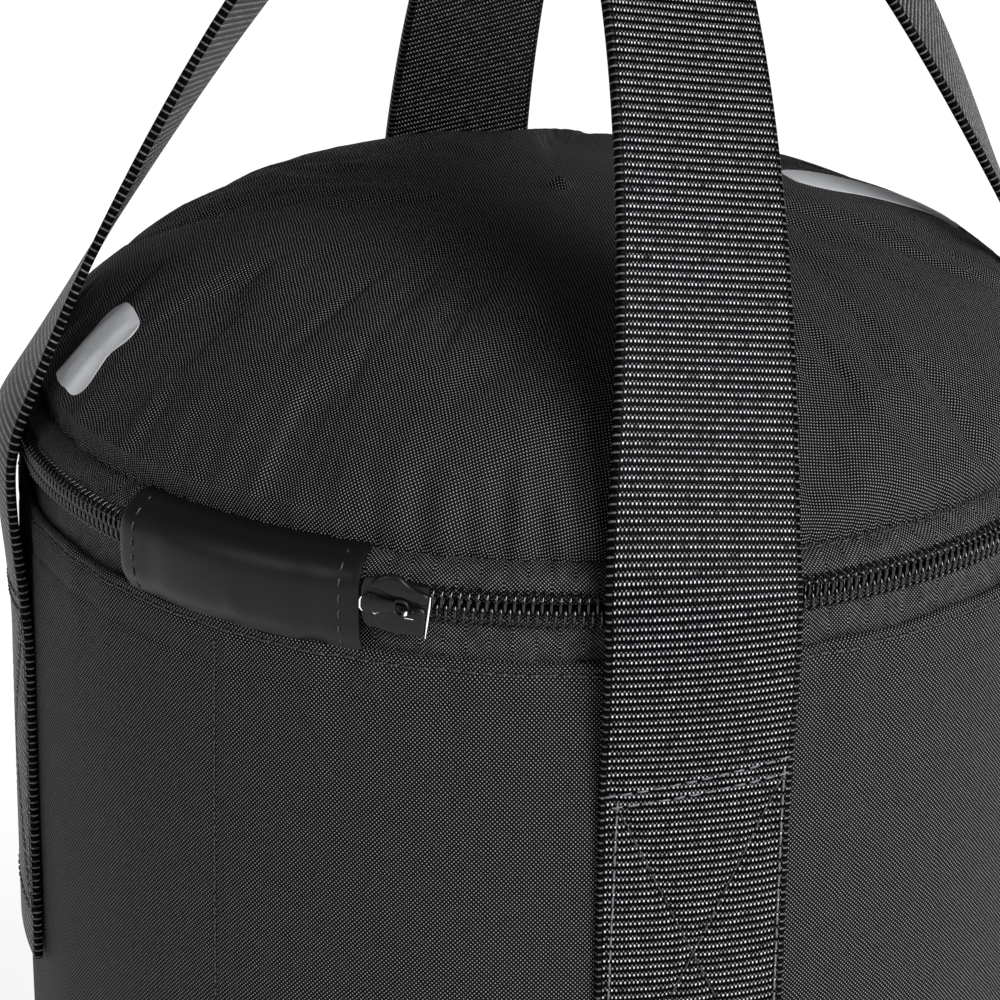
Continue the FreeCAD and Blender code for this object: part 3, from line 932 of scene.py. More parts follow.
class SHOEBAG_OT_lid(Piece, bpy.types.Operator):
    """Build the padded lid, its lining and the tape round its underside"""
    bl_idname = "shoebag.lid"
    bl_label = "Lid"

    def build(self):
        rise = LID_TOP - SEAM_Z
        rings, columns = 44, 1350
        r, h, run = dome_profile(rings, LID_R, rise)
        fine = dome_grid(r, h, columns, SEAM_Z, lid_relief)
        coarse = 180
        start = dome_grid(r, h, coarse, SEAM_Z, lid_relief)
        sheet = self.open_sheet(start)
        moved = settle(sheet, range(1 + (rings - 3) * coarse, 1 + (rings - 1) * coarse), 1.6)
        bpy.data.objects.remove(sheet)
        step = np.concatenate([np.repeat(moved[:1], coarse, 0)[None],
                               moved[1:].reshape(rings - 1, coarse, 3)])
        calm = ease(8.0, 60.0, run)[:, None, None]
        step = step.mean(1, keepdims=True) * (1 - calm) + step * calm
        fine = fine + self.spread(step, columns)
        bearing = 360.0 * np.arange(columns) / columns
        scallop = np.abs(np.sin(np.radians(bearing) * LID_R * np.pi / LID_STITCH_PITCH))
        near_seam = np.exp(-h / 1.1)[:, None]
        fine[..., 2] -= (0.45 * scallop[None, :] - 0.2) * near_seam
        fine += on_bearing((0.35 * scallop)[None, :] * near_seam, bearing[None, :],
                           np.zeros((rings, columns)))
        inset = PADDING
        under = dome_grid(*dome_profile(rings, LID_R - inset, rise - inset, 2.0)[:2], columns, SEAM_Z)
        lid = dome_shell("Lid_padded", fine, under, run, "oxford")
        rides(lid, "lid", "oxford_fabric", "lid_panel", "lid_foam")
        inset += 0.1
        r1, h1, run1 = dome_profile(24, LID_R - inset, rise - inset, 2.0)
        r2, h2, _ = dome_profile(24, LID_R - inset - 0.6, rise - inset - 0.6, 2.0)
        lining = dome_shell("Lid_lining", dome_grid(r1, h1, 160, SEAM_Z), dome_grid(r2, h2, 160, SEAM_Z),
                            run1, "lining")
        rides(lining, "lid", "lining", "lid_lining")
        foot, top = low("lid_rim_binding"), high("lid_rim_binding")
        outline = [(106.0, foot + 0.8), (106.5, foot), (109.6, foot), (110.1, foot + 0.8),
                   (110.1, top), (106.0, top)]
        rides(turned("Lid_rim_binding", outline, "binding"), "lid", "binding", "lid_rim_binding")

    def open_sheet(self, grid):
        """One-ply sheet of the dome for the cloth to start from."""
        rings, columns = grid.shape[:2]
        points = [grid[0, 0]] + list(grid[1:].reshape(-1, 3))
        faces = []
        for j in range(columns):
            k = (j + 1) % columns
            faces.append((0, 1 + j, 1 + k))
            for i in range(rings - 2):
                a, b = 1 + i * columns, 1 + (i + 1) * columns
                faces.append((a + j, b + j, b + k, a + k))
        return from_faces("lid_sheet", points, faces, "oxford")

    def spread(self, step, columns):
        """Carry the coarse movement over to the fine columns."""
        rings, coarse = step.shape[:2]
        place = np.arange(columns) * coarse / columns
        first = np.floor(place).astype(int)
        share = (place - first)[None, :, None]
        share = share * share * (3 - 2 * share)
        return step[:, first] * (1 - share) + step[:, (first + 1) % coarse] * share


def tape_outline(lower):
    """Outline of a zip tape: the lower one stands, the upper one leans in to the lid."""
    if lower:
        heights = np.linspace(291.0, CHAIN_Z - 0.8, 12)
        return [(115.8, z) for z in heights] + [(115.2, z) for z in reversed(heights)]
    outer = [(115.8, 0.8), (115.8, 2.4), (115.7, 3.8), (115.3, 4.9), (114.4, 5.8), (113.2, 6.7), (111.9, 7.5)]
    inner = [(110.7, 7.5), (112.4, 6.3), (113.8, 5.3), (114.7, 4.5), (115.1, 3.5), (115.2, 2.2), (115.2, 0.8)]
    return [(r, CHAIN_Z + z) for r, z in outer + inner]


def tape_wave(bearing, r, z):
    """Small unevenness of the zip tape between its seams."""
    a = np.radians(bearing)
    free = ease(0.0, 3.0, np.minimum(np.abs(z - WALL_TOP), np.abs(z - SEAM_Z)))
    return r + 0.16 * free * (np.sin(31 * a + 2 * np.sin(3 * a)) + 0.6 * np.sin(47 * a + 1.0)), z


class SHOEBAG_OT_zip(Piece, bpy.types.Operator):
    """Build the zip: two tapes, two rows of coil, their sewing and the end stops"""
    bl_idname = "shoebag.zip"
    bl_label = "Zip"

    def build(self):
        last = CHAIN_START + CHAIN_TURN
        tuck = 4.0
        lower = turned("Zip_tape_lower", tape_outline(True), "tape", CHAIN_START - tuck, last + tuck,
                       shape=tape_wave)
        rides(lower, "bag", "zip_tape", "zip_tape_lower")
        pitch = CHAIN_TURN / sizes().elements
        ends = 35
        free_start = CHAIN_START + ends * pitch
        free_end = last - ends * pitch
        upper = turned("Zip_tape_upper", tape_outline(False), "tape", free_start, free_end, shape=tape_wave)
        rides(upper, "lid", "zip_tape", "zip_tape_upper")
        spans = (("first", CHAIN_START - tuck, free_start, 112.0, free_start, CHAIN_START + pitch / 2),
                 ("last", free_end, last + tuck, 68.0 + 360.0, free_end, free_end + pitch / 2))
        for side, a, b, fixed, moving, coil_start in spans:
            where = on_bearing(116.0, fixed, CHAIN_Z + 4.0), on_bearing(116.0, moving, CHAIN_Z + 4.0)
            tape = turned("Zip_tape_end_" + side, tape_outline(False), "tape", a, b, shape=tape_wave)
            bends(tape, "bag", "lid", *where, "zip_tape", "zip_tape_ends")
            coil = self.coil("Zip_coil_end_" + side, True, coil_start, ends, pitch)
            bends(coil, "bag", "lid", *where, "zip_coil", "zip_coil_ends")
        count = sizes().elements
        rides(self.coil("Zip_coil_upper", True, free_start + pitch / 2, count - 2 * ends, pitch),
              "lid", "zip_coil", "zip_coil_upper")
        rides(self.coil("Zip_coil_lower", False, CHAIN_START + pitch, count - 1, pitch),
              "bag", "zip_coil", "zip_coil_lower")
        stops = []
        for edge in (CHAIN_START - 1.4, last):
            for foot in (CHAIN_Z - 3.7, CHAIN_Z + 0.8):
                outline = [(115.9, foot), (117.9, foot), (118.1, foot + 0.3), (118.1, foot + 2.6),
                           (117.9, foot + 2.9), (115.9, foot + 2.9)]
                stops.append(turned("stop", outline, "metal", edge, edge + 1.4, 0.7, sharp=30))
        rides(joined("Zip_stops", stops), "bag", "zip_coil", "zip_stops")

    def coil(self, name, upper, start, count, pitch):
        """One row of coil elements with the thread that sews it down."""
        way = 1.0 if upper else -1.0
        loop = [(0.30, 3.5, -0.95), (0.12, 3.15, 0.05), (0.0, 2.3, 0.72), (0.0, 1.0, 0.98),
                (0.0, -0.15, 0.72), (0.0, -0.52, 0.0), (0.0, -0.1, -0.7), (0.25, 1.6, -0.95)]
        path = [(x, way * y, z) for x, y, z in loop]
        element = tube("coil_element", path, sizes().filament / MM / 2, "coil", 7)
        bearings = start + pitch * np.arange(count)
        line = on_bearing(CHAIN_R, bearings, CHAIN_Z)
        coil = repeated("coil", element, "coil", line, outward_at(bearings), count)
        bpy.data.objects.remove(element)
        slant = [(-0.75, way * 2.95, 0.55), (-0.45, way * 2.65, 0.95), (0.2, way * 2.1, 1.2),
                 (0.7, way * 1.75, 0.75)]
        thread = tube("coil_thread", slant, 0.2, "coil", 5)
        sewing = repeated("sewing", thread, "coil", line, outward_at(bearings), count)
        bpy.data.objects.remove(thread)
        return joined(name, [coil, sewing])


def shield(half_wide, half_narrow):
    """Outline of the slider's back plate, wide end at negative u, as (u, height) pairs."""
    outline = []
    for t in np.linspace(0.0, 1.0, 24):
        width = half_wide + (half_narrow - half_wide) * ease(0.35, 0.8, t)
        nose = math.sqrt(max(0.0, 1 - max(0.0, (0.12 - t) / 0.12) ** 2)) * 0.45 + 0.55
        outline.append((-7.0 + 13.0 * t, width * nose))
    return outline + [(u, -w) for u, w in reversed(outline)]


def smooth_outline(corners, rounds=3):
    """Round a closed outline by cutting its corners."""
    line = np.asarray(corners, float)
    for _ in range(rounds):
        after = np.roll(line, -1, 0)
        line = np.stack([0.78 * line + 0.22 * after, 0.22 * line + 0.78 * after], 1).reshape(-1, 2)
    return line


def at_slider(points):
    """Carry points drawn as (u, radius, height) to the slider's place on the chain."""
    points = np.asarray(points, float)
    turn = math.radians(SLIDER_BEARING)
    along = np.array([-math.sin(turn), math.cos(turn), 0.0])
    out = np.array([math.cos(turn), math.sin(turn), 0.0])
    place = points[..., :1] * along + points[..., 1:2] * out
    place[..., 2] += CHAIN_Z + points[..., 2]
    return place


def slab(name, outline, levels, key):
    """Stack scaled copies of an outline at several radii: levels are (radius, inset)."""
    flat = np.asarray(outline, float)
    middle = (flat.max(0) + flat.min(0)) / 2
    size = (flat.max(0) - flat.min(0)) / 2
    sections = []
    for radius, inset in levels:
        scaled = middle + (flat - middle) * (1 - inset / size)
        sections.append(at_slider(np.stack([scaled[:, 0], np.full(len(flat), radius), scaled[:, 1]], -1)))
    return boxed(name, sections, key, sharp=40.0)


class SHOEBAG_OT_slider(Piece, bpy.types.Operator):
    """Build the zip slider and its short pull"""
    bl_idname = "shoebag.slider"
    bl_label = "Slider"

    def build(self):
        upper = smooth_outline([(-5.3, 3.3), (-4.4, 5.0), (-1.8, 6.3), (0.5, 6.1), (2.4, 4.4), (4.2, 3.5),
                                (6.4, 2.7), (6.0, 0.5), (3.0, 0.75), (0.0, 1.5), (-2.2, 2.1), (-3.6, 3.1)])
        lower = smooth_outline([(5.9, 0.2), (2.0, 0.1), (-1.0, 0.6), (-3.2, 1.2), (-5.4, 2.2), (-6.4, 1.5),
                                (-6.2, -0.9), (-4.7, -1.7), (-4.8, -3.8), (-3.0, -5.3), (0.0, -5.8),
                                (3.4, -5.6), (5.3, -6.1)])
        rounded = [(118.6, 0.4), (118.75, 0.0), (119.3, 0.0), (119.6, 0.2), (119.8, 0.6), (119.9, 1.2)]
        back = slab("plate", shield(5.0, 4.3), [(118.5, 0.3), (118.6, 0.0), (118.95, 0.0), (119.05, 0.3)],
                    "metal")
        parts = [back, slab("lobe", upper, rounded, "metal"), slab("lobe", lower, rounded, "metal")]
        for way in (1.0, -1.0):
            edge = []
            for u in np.linspace(-4.4, 5.6, 12):
                w = 5.0 - 0.7 * float(ease(0.35, 0.8, (u + 7.0) / 13.0))
                edge.append([at_slider((u, radius, way * (w - inset))) for radius, inset in
                             ((118.9, 0.0), (117.4, 0.0), (117.2, 0.35), (117.4, 0.7), (118.9, 0.7))])
            parts.append(boxed("flange", edge, "metal"))
        parts.append(slab("back", shield(4.0, 3.4), [(113.7, 0.5), (113.9, 0.0), (114.5, 0.0), (114.6, 0.3)],
                          "metal"))
        arch = [(u, radius, -0.4) for u, radius in ((1.2, 119.5), (1.2, 120.3), (1.6, 120.7), (2.4, 120.8),
                                                    (3.2, 120.7), (3.6, 120.3), (3.6, 119.5))]
        parts.append(tube("arch", at_slider(arch), 0.5, "metal", 10))
        # Painted highlights: light tubes along the plate's edge, the nose, the lug's window and its rim,
        # where the enamel catches the light.
        worn = (([(6.5, 119.5, 2.6), (6.3, 119.6, 0.4), (5.9, 119.6, -2.6), (5.45, 119.5, -5.9)], 0.17),
                ([(-4.9, 119.8, -1.5), (-4.2, 119.85, -1.9), (-3.4, 119.9, -1.5)], 0.12),
                ([(1.9, 121.2, -1.0), (2.2, 121.3, -0.6), (2.4, 121.25, -0.1)], 0.33),
                ([(1.6, 120.0, -2.0), (3.3, 120.0, -2.1)], 0.14))
        rides(joined("Slider_body", parts), "slider", "black_metal", "slider_body")
        edges = [tube("worn", at_slider(line), wide, "zinc", 8) for line, wide in worn]
        rides(joined("Slider_worn_edges", edges), "slider", "black_metal")
        self.pull()

    def pull(self):
        """The pull: an eye of round wire that hangs in the arch, and a flat tongue."""
        centre = np.array([0.85, 120.1, 0.0])
        eye_r, wire_r = 1.5, 0.3
        up = np.array([0.0, 1.0, 0.0])
        sections = []
        for t in np.linspace(0.0, 2 * np.pi, 21)[:-1]:
            out = np.array([math.cos(t), 0.0, math.sin(t)])
            sections.append(at_slider([centre + eye_r * out + wire_r * (math.cos(a) * out + math.sin(a) * up)
                                       for a in round_angles(8)]))
        eye = skinned("eye", np.array(sections), "metal", np.arange(len(sections) + 1) * 0.5,
                      np.arange(9) * 0.3)
        outline = smooth_outline([(-0.2, 1.2), (-3.0, 1.35), (-6.4, 1.9), (-7.2, 1.4), (-7.2, -1.2),
                                  (-6.4, -1.6), (-3.0, -1.2), (-0.2, -1.1)])
        tongue = slab("tongue", outline, [(119.8, 0.25), (119.95, 0.0), (120.2, 0.0), (120.35, 0.3)], "metal")
        # painted highlight along the pull's end
        end = tube("worn", at_slider([(-6.6, 120.3, 1.5), (-6.95, 120.35, 0.9), (-7.0, 120.35, -0.7),
                                      (-6.5, 120.3, -1.35)]), 0.15, "zinc", 8)
        rides(joined("Slider_pull", [eye, tongue]), "pull", "black_metal", "slider_pull")
        end.name = "Pull_worn_edge"
        rides(end, "pull", "black_metal")


def tab_profile():
    """Middle line of the hinge tab, from behind the wall's rim to the lid's seam."""
    on_wall = ((116.7, -1.0), (117.2, 0.4), (118.2, 1.8), (118.8, 3.6))
    on_chain = ((118.95, -3.0), (118.9, -0.2), (118.8, 2.0), (118.2, 4.0), (116.8, 5.8), (114.8, 7.2),
                (112.6, 8.1), (111.4, 8.0))
    return np.array([(r, WALL_TOP + z) for r, z in on_wall] + [(r, CHAIN_Z + z) for r, z in on_chain])


def tab_relief(bearing, z):
    """Soft creases of the coated tab."""
    crease = 0.38 * hump(bearing, 91.0, 1.3) * hump(z, 304.0, 4.0)
    slack = 0.35 * np.sin(np.radians(bearing - 76.0) * 7.0) * hump(z, 308.0, 6.0)
    return crease + slack - 0.35 * hump(bearing, 99.0, 1.5) - 0.25 * hump(bearing, 80.5, 1.5)


class SHOEBAG_OT_tab(Piece, bpy.types.Operator):
    """Build the coated tab that hinges the lid"""
    bl_idname = "shoebag.tab"
    bl_label = "Hinge tab"

    def build(self):
        middle = tab_profile()
        run = lengths_along(middle)
        fine = np.linspace(0.0, run[-1], 34)
        line = np.stack([np.interp(fine, run, middle[:, 0]), np.interp(fine, run, middle[:, 1])], -1)
        kernel = np.array([0.25, 0.5, 0.25])
        for _ in range(4):
            line[1:-1] = sum(k * line[i:len(line) - 2 + i] for i, k in enumerate(kernel))
        across = np.gradient(line, axis=0)
        across /= np.linalg.norm(across, axis=1, keepdims=True)
        out = np.stack([across[:, 1], -across[:, 0]], -1)
        face, back = line + out * 0.5, line - out * 0.5
        bearings = np.linspace(HINGE - 13.8, HINGE + 13.8, 70)
        sections = []
        for i, b in enumerate(bearings):
            rim = min(i, len(bearings) - 1 - i)
            thin = 0.55 if rim == 0 else 1.0
            loop = []
            for side, sign in ((face, 1.0), (back[::-1], -1.0)):
                relief = tab_relief(b, side[:, 1])
                mid = line if sign > 0 else line[::-1]
                pulled = mid + (side - mid) * thin
                loop.append(on_bearing(pulled[:, 0] + relief, b, pulled[:, 1]))
            sections.append(np.concatenate(loop))
        points = np.array(sections)
        along = np.radians(bearings) * 118.0
        tab = skinned("Hinge_tab", points, "coated", along, lengths_round(points[0]), closed=False)
        bends(tab, "bag", "lid", *TAB_FOLD, "coated_tab", "hinge_tab_lower", "hinge_tab_upper")


def strap_radius(z):
    """Middle plane of the webbing: on the wall below, standing off the rim above."""
    on_wall = WALL_R + wall_swell(STRAP_BEARING, z) + 1.2
    return on_wall + (STRAP_TOP_R - on_wall) * ease(262.0, 303.0, z)


def strap_sections():
    """Centres, width and outward directions, and lateral curvature, from the right foot to the left."""
    base = []
    for z in np.concatenate([np.linspace(STRAP_FOOT, 282.0, 66), np.linspace(284.0, 311.5, 13)]):
        radius = float(strap_radius(z))
        base.append((on_bearing(radius, STRAP_BEARING, z), STRAP_BEARING, 1 / radius))
    middle = STRAP_TOP_R * math.cos(math.radians(STRAP_BEARING))
    apex = np.array([0.0, 20.5, 453.0])
    knots = (np.array([middle, middle, STRAP_FREE_Z]), np.array([middle - 7.0, middle - 7.0, 323.5]),
             apex + np.array([49.5, 7.0, -3.7]), apex)
    for t in np.linspace(0.0, 1.0, 60):
        s = 1 - t
        place = knots[0] * s**3 + knots[1] * 3 * s * s * t + knots[2] * 3 * s * t * t + knots[3] * t**3
        base.append((place, STRAP_BEARING * s ** 1.03, (1 - float(ease(0.0, 0.35, t))) / STRAP_TOP_R))
    centres = np.array([c for c, _, _ in base])
    near = hump(centres[:, 2:], 320.5, 14.0)
    for _ in range(30):
        middle_way = (centres[:-2] + centres[2:]) / 2
        centres[1:-1] += 0.5 * near[1:-1] * (middle_way - centres[1:-1])
    along = np.gradient(centres, axis=0)
    along /= np.linalg.norm(along, axis=1, keepdims=True)
    turn = np.radians([b for _, b, _ in base])
    across = np.stack([-np.sin(turn), np.cos(turn), np.zeros_like(turn)], -1)
    across -= along * (across * along).sum(1, keepdims=True)
    across /= np.linalg.norm(across, axis=1, keepdims=True)
    out = np.cross(across, along)
    bend = np.array([k for _, _, k in base])
    flip = np.array([-1.0, 1.0, 1.0])
    left = slice(-2, None, -1)
    return (np.concatenate([centres, centres[left] * flip]), np.concatenate([across, across[left] * flip]),
            np.concatenate([out, out[left] * flip]), np.concatenate([bend, bend[left]]))


def strap_place(centre, across, out, bend, w, lift):
    """Point at an offset across the webbing and a lift from its middle plane."""
    bend = max(bend, 1e-6)
    radius = 1 / bend + lift
    angle = w * bend
    return centre + across * radius * math.sin(angle) + out * (radius * math.cos(angle) - 1 / bend)


def box_lines():
    """The sewn box and its cross at a strap's foot, as pairs of (across, height) points."""
    foot = STRAP_FOOT + 10.0
    corners = {"top_left": (-17.0, 273.6), "top_right": (17.0, 278.6), "low_left": (-15.5, 271.2),
               "low_right": (17.0, 275.2), "foot_left": (-17.0, foot), "foot_right": (17.0, foot + 1.0)}
    box = (("top_left", "top_right"), ("low_left", "low_right"), ("low_left", "foot_left"),
           ("low_right", "foot_right"), ("foot_left", "foot_right"))
    cross = (("low_left", "foot_right"), ("low_right", "foot_left"))
    return [[(corners[a], corners[b]) for a, b in pairs] for pairs in (box, cross)]


def sewn_dip(across, z):
    """How deep the stitching draws the webbing in, at offsets across it and one height."""
    depth = np.zeros(len(across))
    if z > 285.0:
        return depth
    for lines, deep in zip(box_lines(), (0.3, 0.55)):
        for start, end in lines:
            start, end = np.array(start), np.array(end)
            way = end - start
            spot = np.stack([across, np.full(len(across), z)], -1) - start
            t = np.clip(spot @ way / (way @ way), 0.0, 1.0)
            gap = np.linalg.norm(spot - t[:, None] * way, axis=1)
            depth = np.maximum(depth, deep * hump(gap, 0.0, 0.95))
    return depth


LEAN = 5.6                 # the straps lean this far towards -X
LEAN_HEIGHT = 101.0        # over each such rise
STRAP_FOLD_Y = 86.0        # a strap would bend here when its handle swings; bends() does not use it
STRAP_FOLD_Z = (300.0, 330.0)


class SHOEBAG_OT_straps(Piece, bpy.types.Operator):
    """Build the two webbing straps, each sewn to the wall at both ends"""
    bl_idname = "shoebag.straps"
    bl_label = "Straps"

    def build(self):
        half = sizes().webbing_wide / MM / 2
        thick = sizes().webbing_thick / MM / 2
        steps = np.linspace(-half + 0.5, half - 0.5, 36)
        edge = [(half - 0.1, thick * 0.6), (half, 0.0), (half - 0.1, -thick * 0.6)]
        outline = [(w, thick) for w in steps] + edge
        outline += [(w, -thick) for w in reversed(steps)] + [(-w, -lift) for w, lift in edge]
        centres, across, out, bend = strap_sections()
        run = lengths_along(centres)
        sections = []
        for c, a, o, k in zip(centres, across, out, bend):
            dips = sewn_dip(np.array([w for w, _ in outline]), c[2])
            sections.append([strap_place(c, a, o, k, w, lift - (dip if lift > 0 else 0.0))
                             for (w, lift), dip in zip(outline, dips)])
        points = np.array(sections)
        edge_u = np.array([w + half for w, _ in outline] + [outline[0][0] + half])
        for name, way, nodes in (("rear", 1.0, ("handle_rear", "strap_base_rear_right",
                                                "strap_base_rear_left")),
                                 ("front", -1.0, ("handle_front", "strap_base_front_right",
                                                  "strap_base_front_left"))):
            placed = points * np.array([1.0, way, 1.0])
            rise = np.clip((placed[..., 2:] - STRAP_FREE_Z) / LEAN_HEIGHT, 0.0, None)
            placed = placed + rise * np.array([-LEAN, 0.0, 0.0])
            strap = skinned("Strap_" + name, placed, "webbing", run, edge_u, closed=False)
            self.turn_uv(strap)
            fold = [(0, way * STRAP_FOLD_Y, z) for z in STRAP_FOLD_Z]
            bends(strap, "bag", name + "_handle", *fold, "webbing", *nodes)

    def turn_uv(self, strap):
        """Skinning gives length first; the webbing's cloth runs across first."""
        layer = strap.data.uv_layers["cloth"]
        flat = np.zeros(len(layer.data) * 2, np.float32)
        layer.data.foreach_get("uv", flat)
        layer.data.foreach_set("uv", flat.reshape(-1, 2)[:, ::-1].ravel())


class SHOEBAG_OT_stitches(Piece, bpy.types.Operator):
    """Sew the rim, the lid's seam, the wall's seam, the tab and the strap ends"""
    bl_idname = "shoebag.stitches"
    bl_label = "Stitches"

    def build(self):
        round_bearings = np.linspace(0.0, 360.0, 721)
        z = WALL_TOP - 2.2
        rim = stitched("Stitches_rim", [(wall_point(round_bearings, z, 0.12), outward_at(round_bearings))])
        rides(rim, "bag", "binding")
        heights = np.linspace(WALL_TOP - 6.0, WALL_FOOT + 6.0, 100)
        seam_bearings = np.full(100, 88.0)
        seam = stitched("Stitches_wall_seam", [(wall_point(seam_bearings, heights, 0.1),
                                                outward_at(seam_bearings))])
        rides(seam, "bag", "binding")
        lean = outward_at(round_bearings) * 0.75 + np.array([0, 0, 0.66])
        under = on_bearing(112.5, round_bearings, CHAIN_Z + 7.25)
        keep = (round_bearings < HINGE - 40.0) | (round_bearings > HINGE + 40.0)
        order = np.argsort(np.mod(round_bearings[keep] - HINGE, 360.0), kind="stable")
        lid = stitched("Stitches_lid_seam", [(under[keep][order], lean[keep][order])], LID_STITCH_PITCH, 2.4)
        rides(lid, "lid", "binding")
        self.tab()
        self.strap_ends()

    def tab(self):
        lines = []
        heights = np.linspace(WALL_TOP + 1.2, CHAIN_Z + 7.4, 30)
        profile = tab_profile()
        for b in (HINGE - 11.9, HINGE + 11.9):
            r = np.interp(heights, profile[:, 1][:11], profile[:, 0][:11])
            bearing = np.full(30, b)
            line = on_bearing(r + 0.52 + tab_relief(bearing, heights), bearing, heights)
            lines.append((line, outward_at(bearing)))
        tab = stitched("Stitches_tab", lines, 2.7, 1.9, 0.08)
        bends(tab, "bag", "lid", *TAB_FOLD, "binding")

    def strap_ends(self):
        box, cross = box_lines()
        for bearing, name in ((45.0, "rear_right"), (135.0, "rear_left"), (225.0, "front_left"),
                              (315.0, "front_right")):
            lines = [self.line(bearing, a, b, 0.98) for a, b in box]
            # the box lines use the lighter thread copy, which paints their highlight
            rides(stitched("Stitches_box_" + name, lines, 2.8, 2.2, key="box_thread_highlight"), "bag", "webbing")
            lines = [self.line(bearing, a, b, 0.7) for a, b in cross]
            rides(stitched("Stitches_cross_" + name, lines, 2.8, 2.3), "bag", "webbing")

    def line(self, bearing, start, end, lift):
        t = np.linspace(0.0, 1.0, 40)
        w = start[0] + (end[0] - start[0]) * t
        z = start[1] + (end[1] - start[1]) * t
        mid = strap_radius(z)
        at = bearing + np.degrees(w / mid)
        return on_bearing(mid + lift, at, z), outward_at(at)


class SHOEBAG_OT_marks(Piece, bpy.types.Operator):
    """Lay two plain printed marks on the lid, where the bag carries its prints"""
    bl_idname = "shoebag.marks"
    bl_label = "Marks"

    def build(self):
        lid = bpy.data.objects["Lid_padded"]
        tree = BVHTree.FromObject(lid, bpy.context.evaluated_depsgraph_get())
        marks = [self.patch("mark_a", tree, 54.5, 102.6, 9.5, 7.9, 90.0, 0.25),
                 self.patch("mark_b", tree, 231.0, 74.0, 21.0, 7.0)]
        rides(joined("Lid_marks", marks), "lid", "oxford_fabric")

    def patch(self, name, tree, bearing, radius, half_r, half_t, lean=0.0, waist=0.0):
        """A rounded patch that follows the cloth, a hair above it; lean turns its long axis."""
        angle = math.radians(bearing)
        centre = np.array([radius * math.cos(angle), radius * math.sin(angle)])
        angle += math.radians(lean)
        out = np.array([math.cos(angle), math.sin(angle)])
        side = np.array([-math.sin(angle), math.cos(angle)])
        rings = []
        for lift in (0.22, 0.02):
            for share in (np.linspace(0.15, 1.0, 7) if lift > 0.1 else np.linspace(1.0, 0.15, 7)):
                loop = []
                for t in round_angles(60):
                    a, b = math.cos(t), math.sin(t)
                    a, b = (math.copysign(abs(c) ** 0.55, c) for c in (a, b))
                    slim = 1 - waist * float(hump(b * share, 0.0, 0.55))
                    spot = centre + share * (half_r * slim * a * out + half_t * b * side)
                    hit, normal, _, _ = tree.ray_cast(Vector((*(spot * MM), 0.6)), Vector((0, 0, -1)))
                    loop.append(np.array(hit) / MM + np.array(normal) * lift)
                rings.append(loop)
        return boxed(name, rings, "mark")


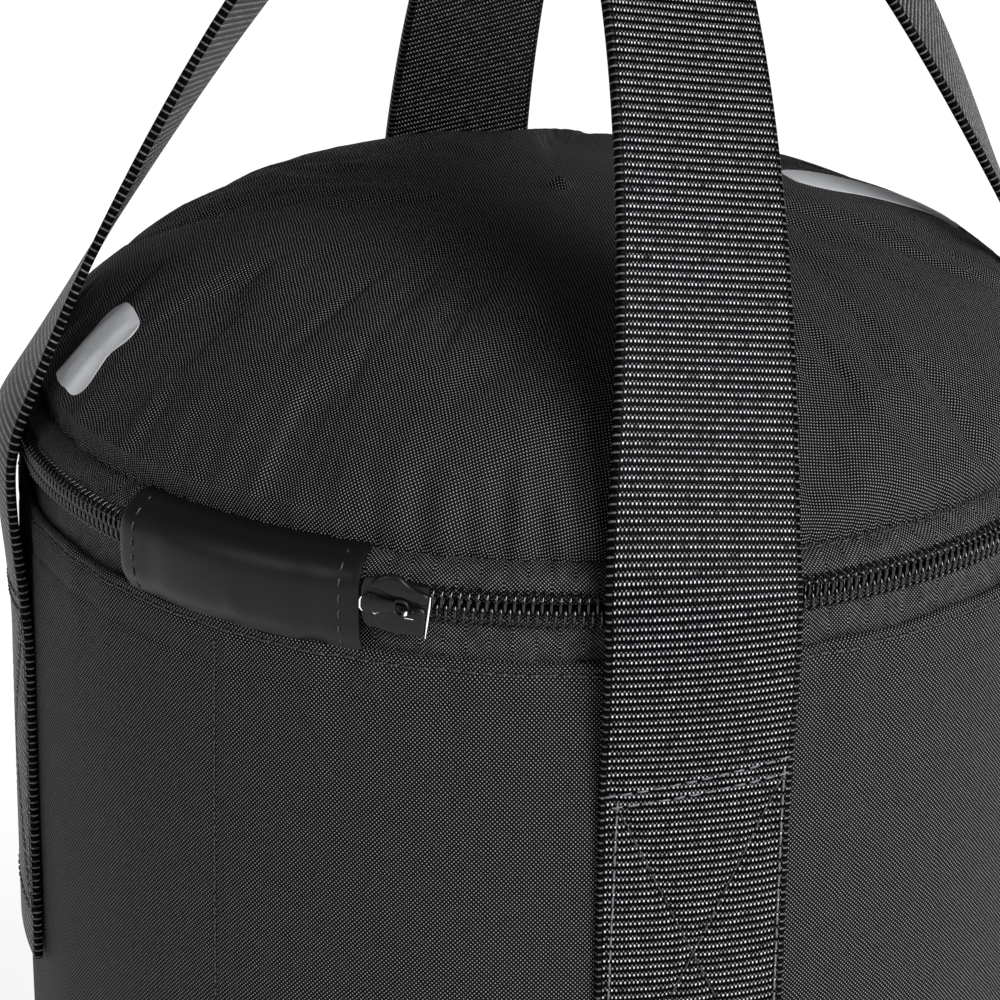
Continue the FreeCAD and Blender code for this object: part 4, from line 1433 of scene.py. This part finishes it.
class SHOEBAG_OT_stage(Piece, bpy.types.Operator):
    """Set the floor, the lights and the camera"""
    bl_idname = "shoebag.stage"
    bl_label = "Stage"

    def build(self):
        bpy.ops.mesh.primitive_plane_add(size=30.0)
        floor = bpy.context.object
        floor.name = "Floor"
        floor.data.materials.append(material("floor"))
        paper = material("floor").node_tree
        fed(paper, paper.nodes["Principled BSDF"], {"Emission Color": rgba((1.0, 1.0, 1.0)),
                                                    "Emission Strength": 0.86})
        world = bpy.data.worlds.new("soft_room")
        world.use_nodes = True
        room = world.node_tree
        fed(room, room.nodes["Background"], {"Color": rgba((1.0, 1.0, 1.0)), "Strength": 0.16})
        bpy.context.scene.world = world
        bpy.context.scene.view_settings.view_transform = "Standard"
        for name, kind, place, size, power in (("Sun", "SUN", (-1.75, 0.65, 1.45), 0.6, 3.6),
                                               ("Key", "AREA", (-1.1, 0.25, 0.75), 0.5, 9.0),
                                               ("Rim", "AREA", (0.5, 1.2, 0.9), 0.5, 3.0)):
            lamp = bpy.data.lights.new(name, kind)
            if kind == "SUN":
                lamp.angle = size
            else:
                lamp.size = size
            lamp.energy = power
            obj = bpy.data.objects.new(name, lamp)
            obj.location = place
            aim = Vector((0, 0, 0.31)) - Vector(place)
            obj.rotation_euler = aim.to_track_quat("-Z", "Y").to_euler()
            bpy.context.scene.collection.objects.link(obj)
        self.camera()

    def camera(self):
        """Long lens outside the tab and above the rim, looking down at it."""
        lens = bpy.data.cameras.new("Camera")
        lens.sensor_width = 36.0
        lens.lens = 108.0
        lens.clip_start = 0.01
        obj = bpy.data.objects.new("Camera", lens)
        bearing = math.radians(121.3)
        distance = 0.624
        pan, tilt, roll = -0.0189, 0.3825, 0.0114
        level = Matrix.Rotation(bearing - math.radians(270.0), 3, "Z")
        forward = level @ Vector((math.sin(pan) * math.cos(tilt), math.cos(pan) * math.cos(tilt),
                                  -math.sin(tilt)))
        right = level @ Vector((math.cos(pan), -math.sin(pan), 0.0))
        up = right.cross(forward)
        right, up = (right * math.cos(roll) + up * math.sin(roll),
                     up * math.cos(roll) - right * math.sin(roll))
        turn = Matrix((right, up, -forward)).transposed()
        obj.rotation_euler = turn.to_euler()
        obj.location = (distance * math.cos(bearing), distance * math.sin(bearing), CHAIN_Z * MM + 0.226)
        bpy.context.scene.collection.objects.link(obj)
        bpy.context.scene.camera = obj


class SHOEBAG_PT_panel(bpy.types.Panel):
    """Lists the pieces of the bag"""
    bl_idname = "SHOEBAG_PT_panel"
    bl_label = "Golf shoe bag"
    bl_space_type = "VIEW_3D"
    bl_region_type = "UI"
    bl_category = "Shoe bag"

    def draw(self, context):
        for operator in PIECES:
            self.layout.operator(operator.bl_idname)


PIECES = (SHOEBAG_OT_stage, SHOEBAG_OT_wall, SHOEBAG_OT_base, SHOEBAG_OT_lid, SHOEBAG_OT_zip,
          SHOEBAG_OT_slider, SHOEBAG_OT_tab, SHOEBAG_OT_straps, SHOEBAG_OT_stitches, SHOEBAG_OT_marks)
CLASSES = (ShoeBagColours, ShoeBagSizes) + PIECES + (SHOEBAG_PT_panel,)


def register():
    for cls in CLASSES:
        bpy.utils.register_class(cls)
    bpy.types.Scene.shoe_bag_colours = bpy.props.PointerProperty(type=ShoeBagColours)
    bpy.types.Scene.shoe_bag_sizes = bpy.props.PointerProperty(type=ShoeBagSizes)


def unregister():
    del bpy.types.Scene.shoe_bag_sizes
    del bpy.types.Scene.shoe_bag_colours
    for cls in reversed(CLASSES):
        bpy.utils.unregister_class(cls)


def main():
    register()
    for operator in PIECES:
        group, name = operator.bl_idname.split(".")
        getattr(getattr(bpy.ops, group), name)()


if __name__ == "__main__":
    main()
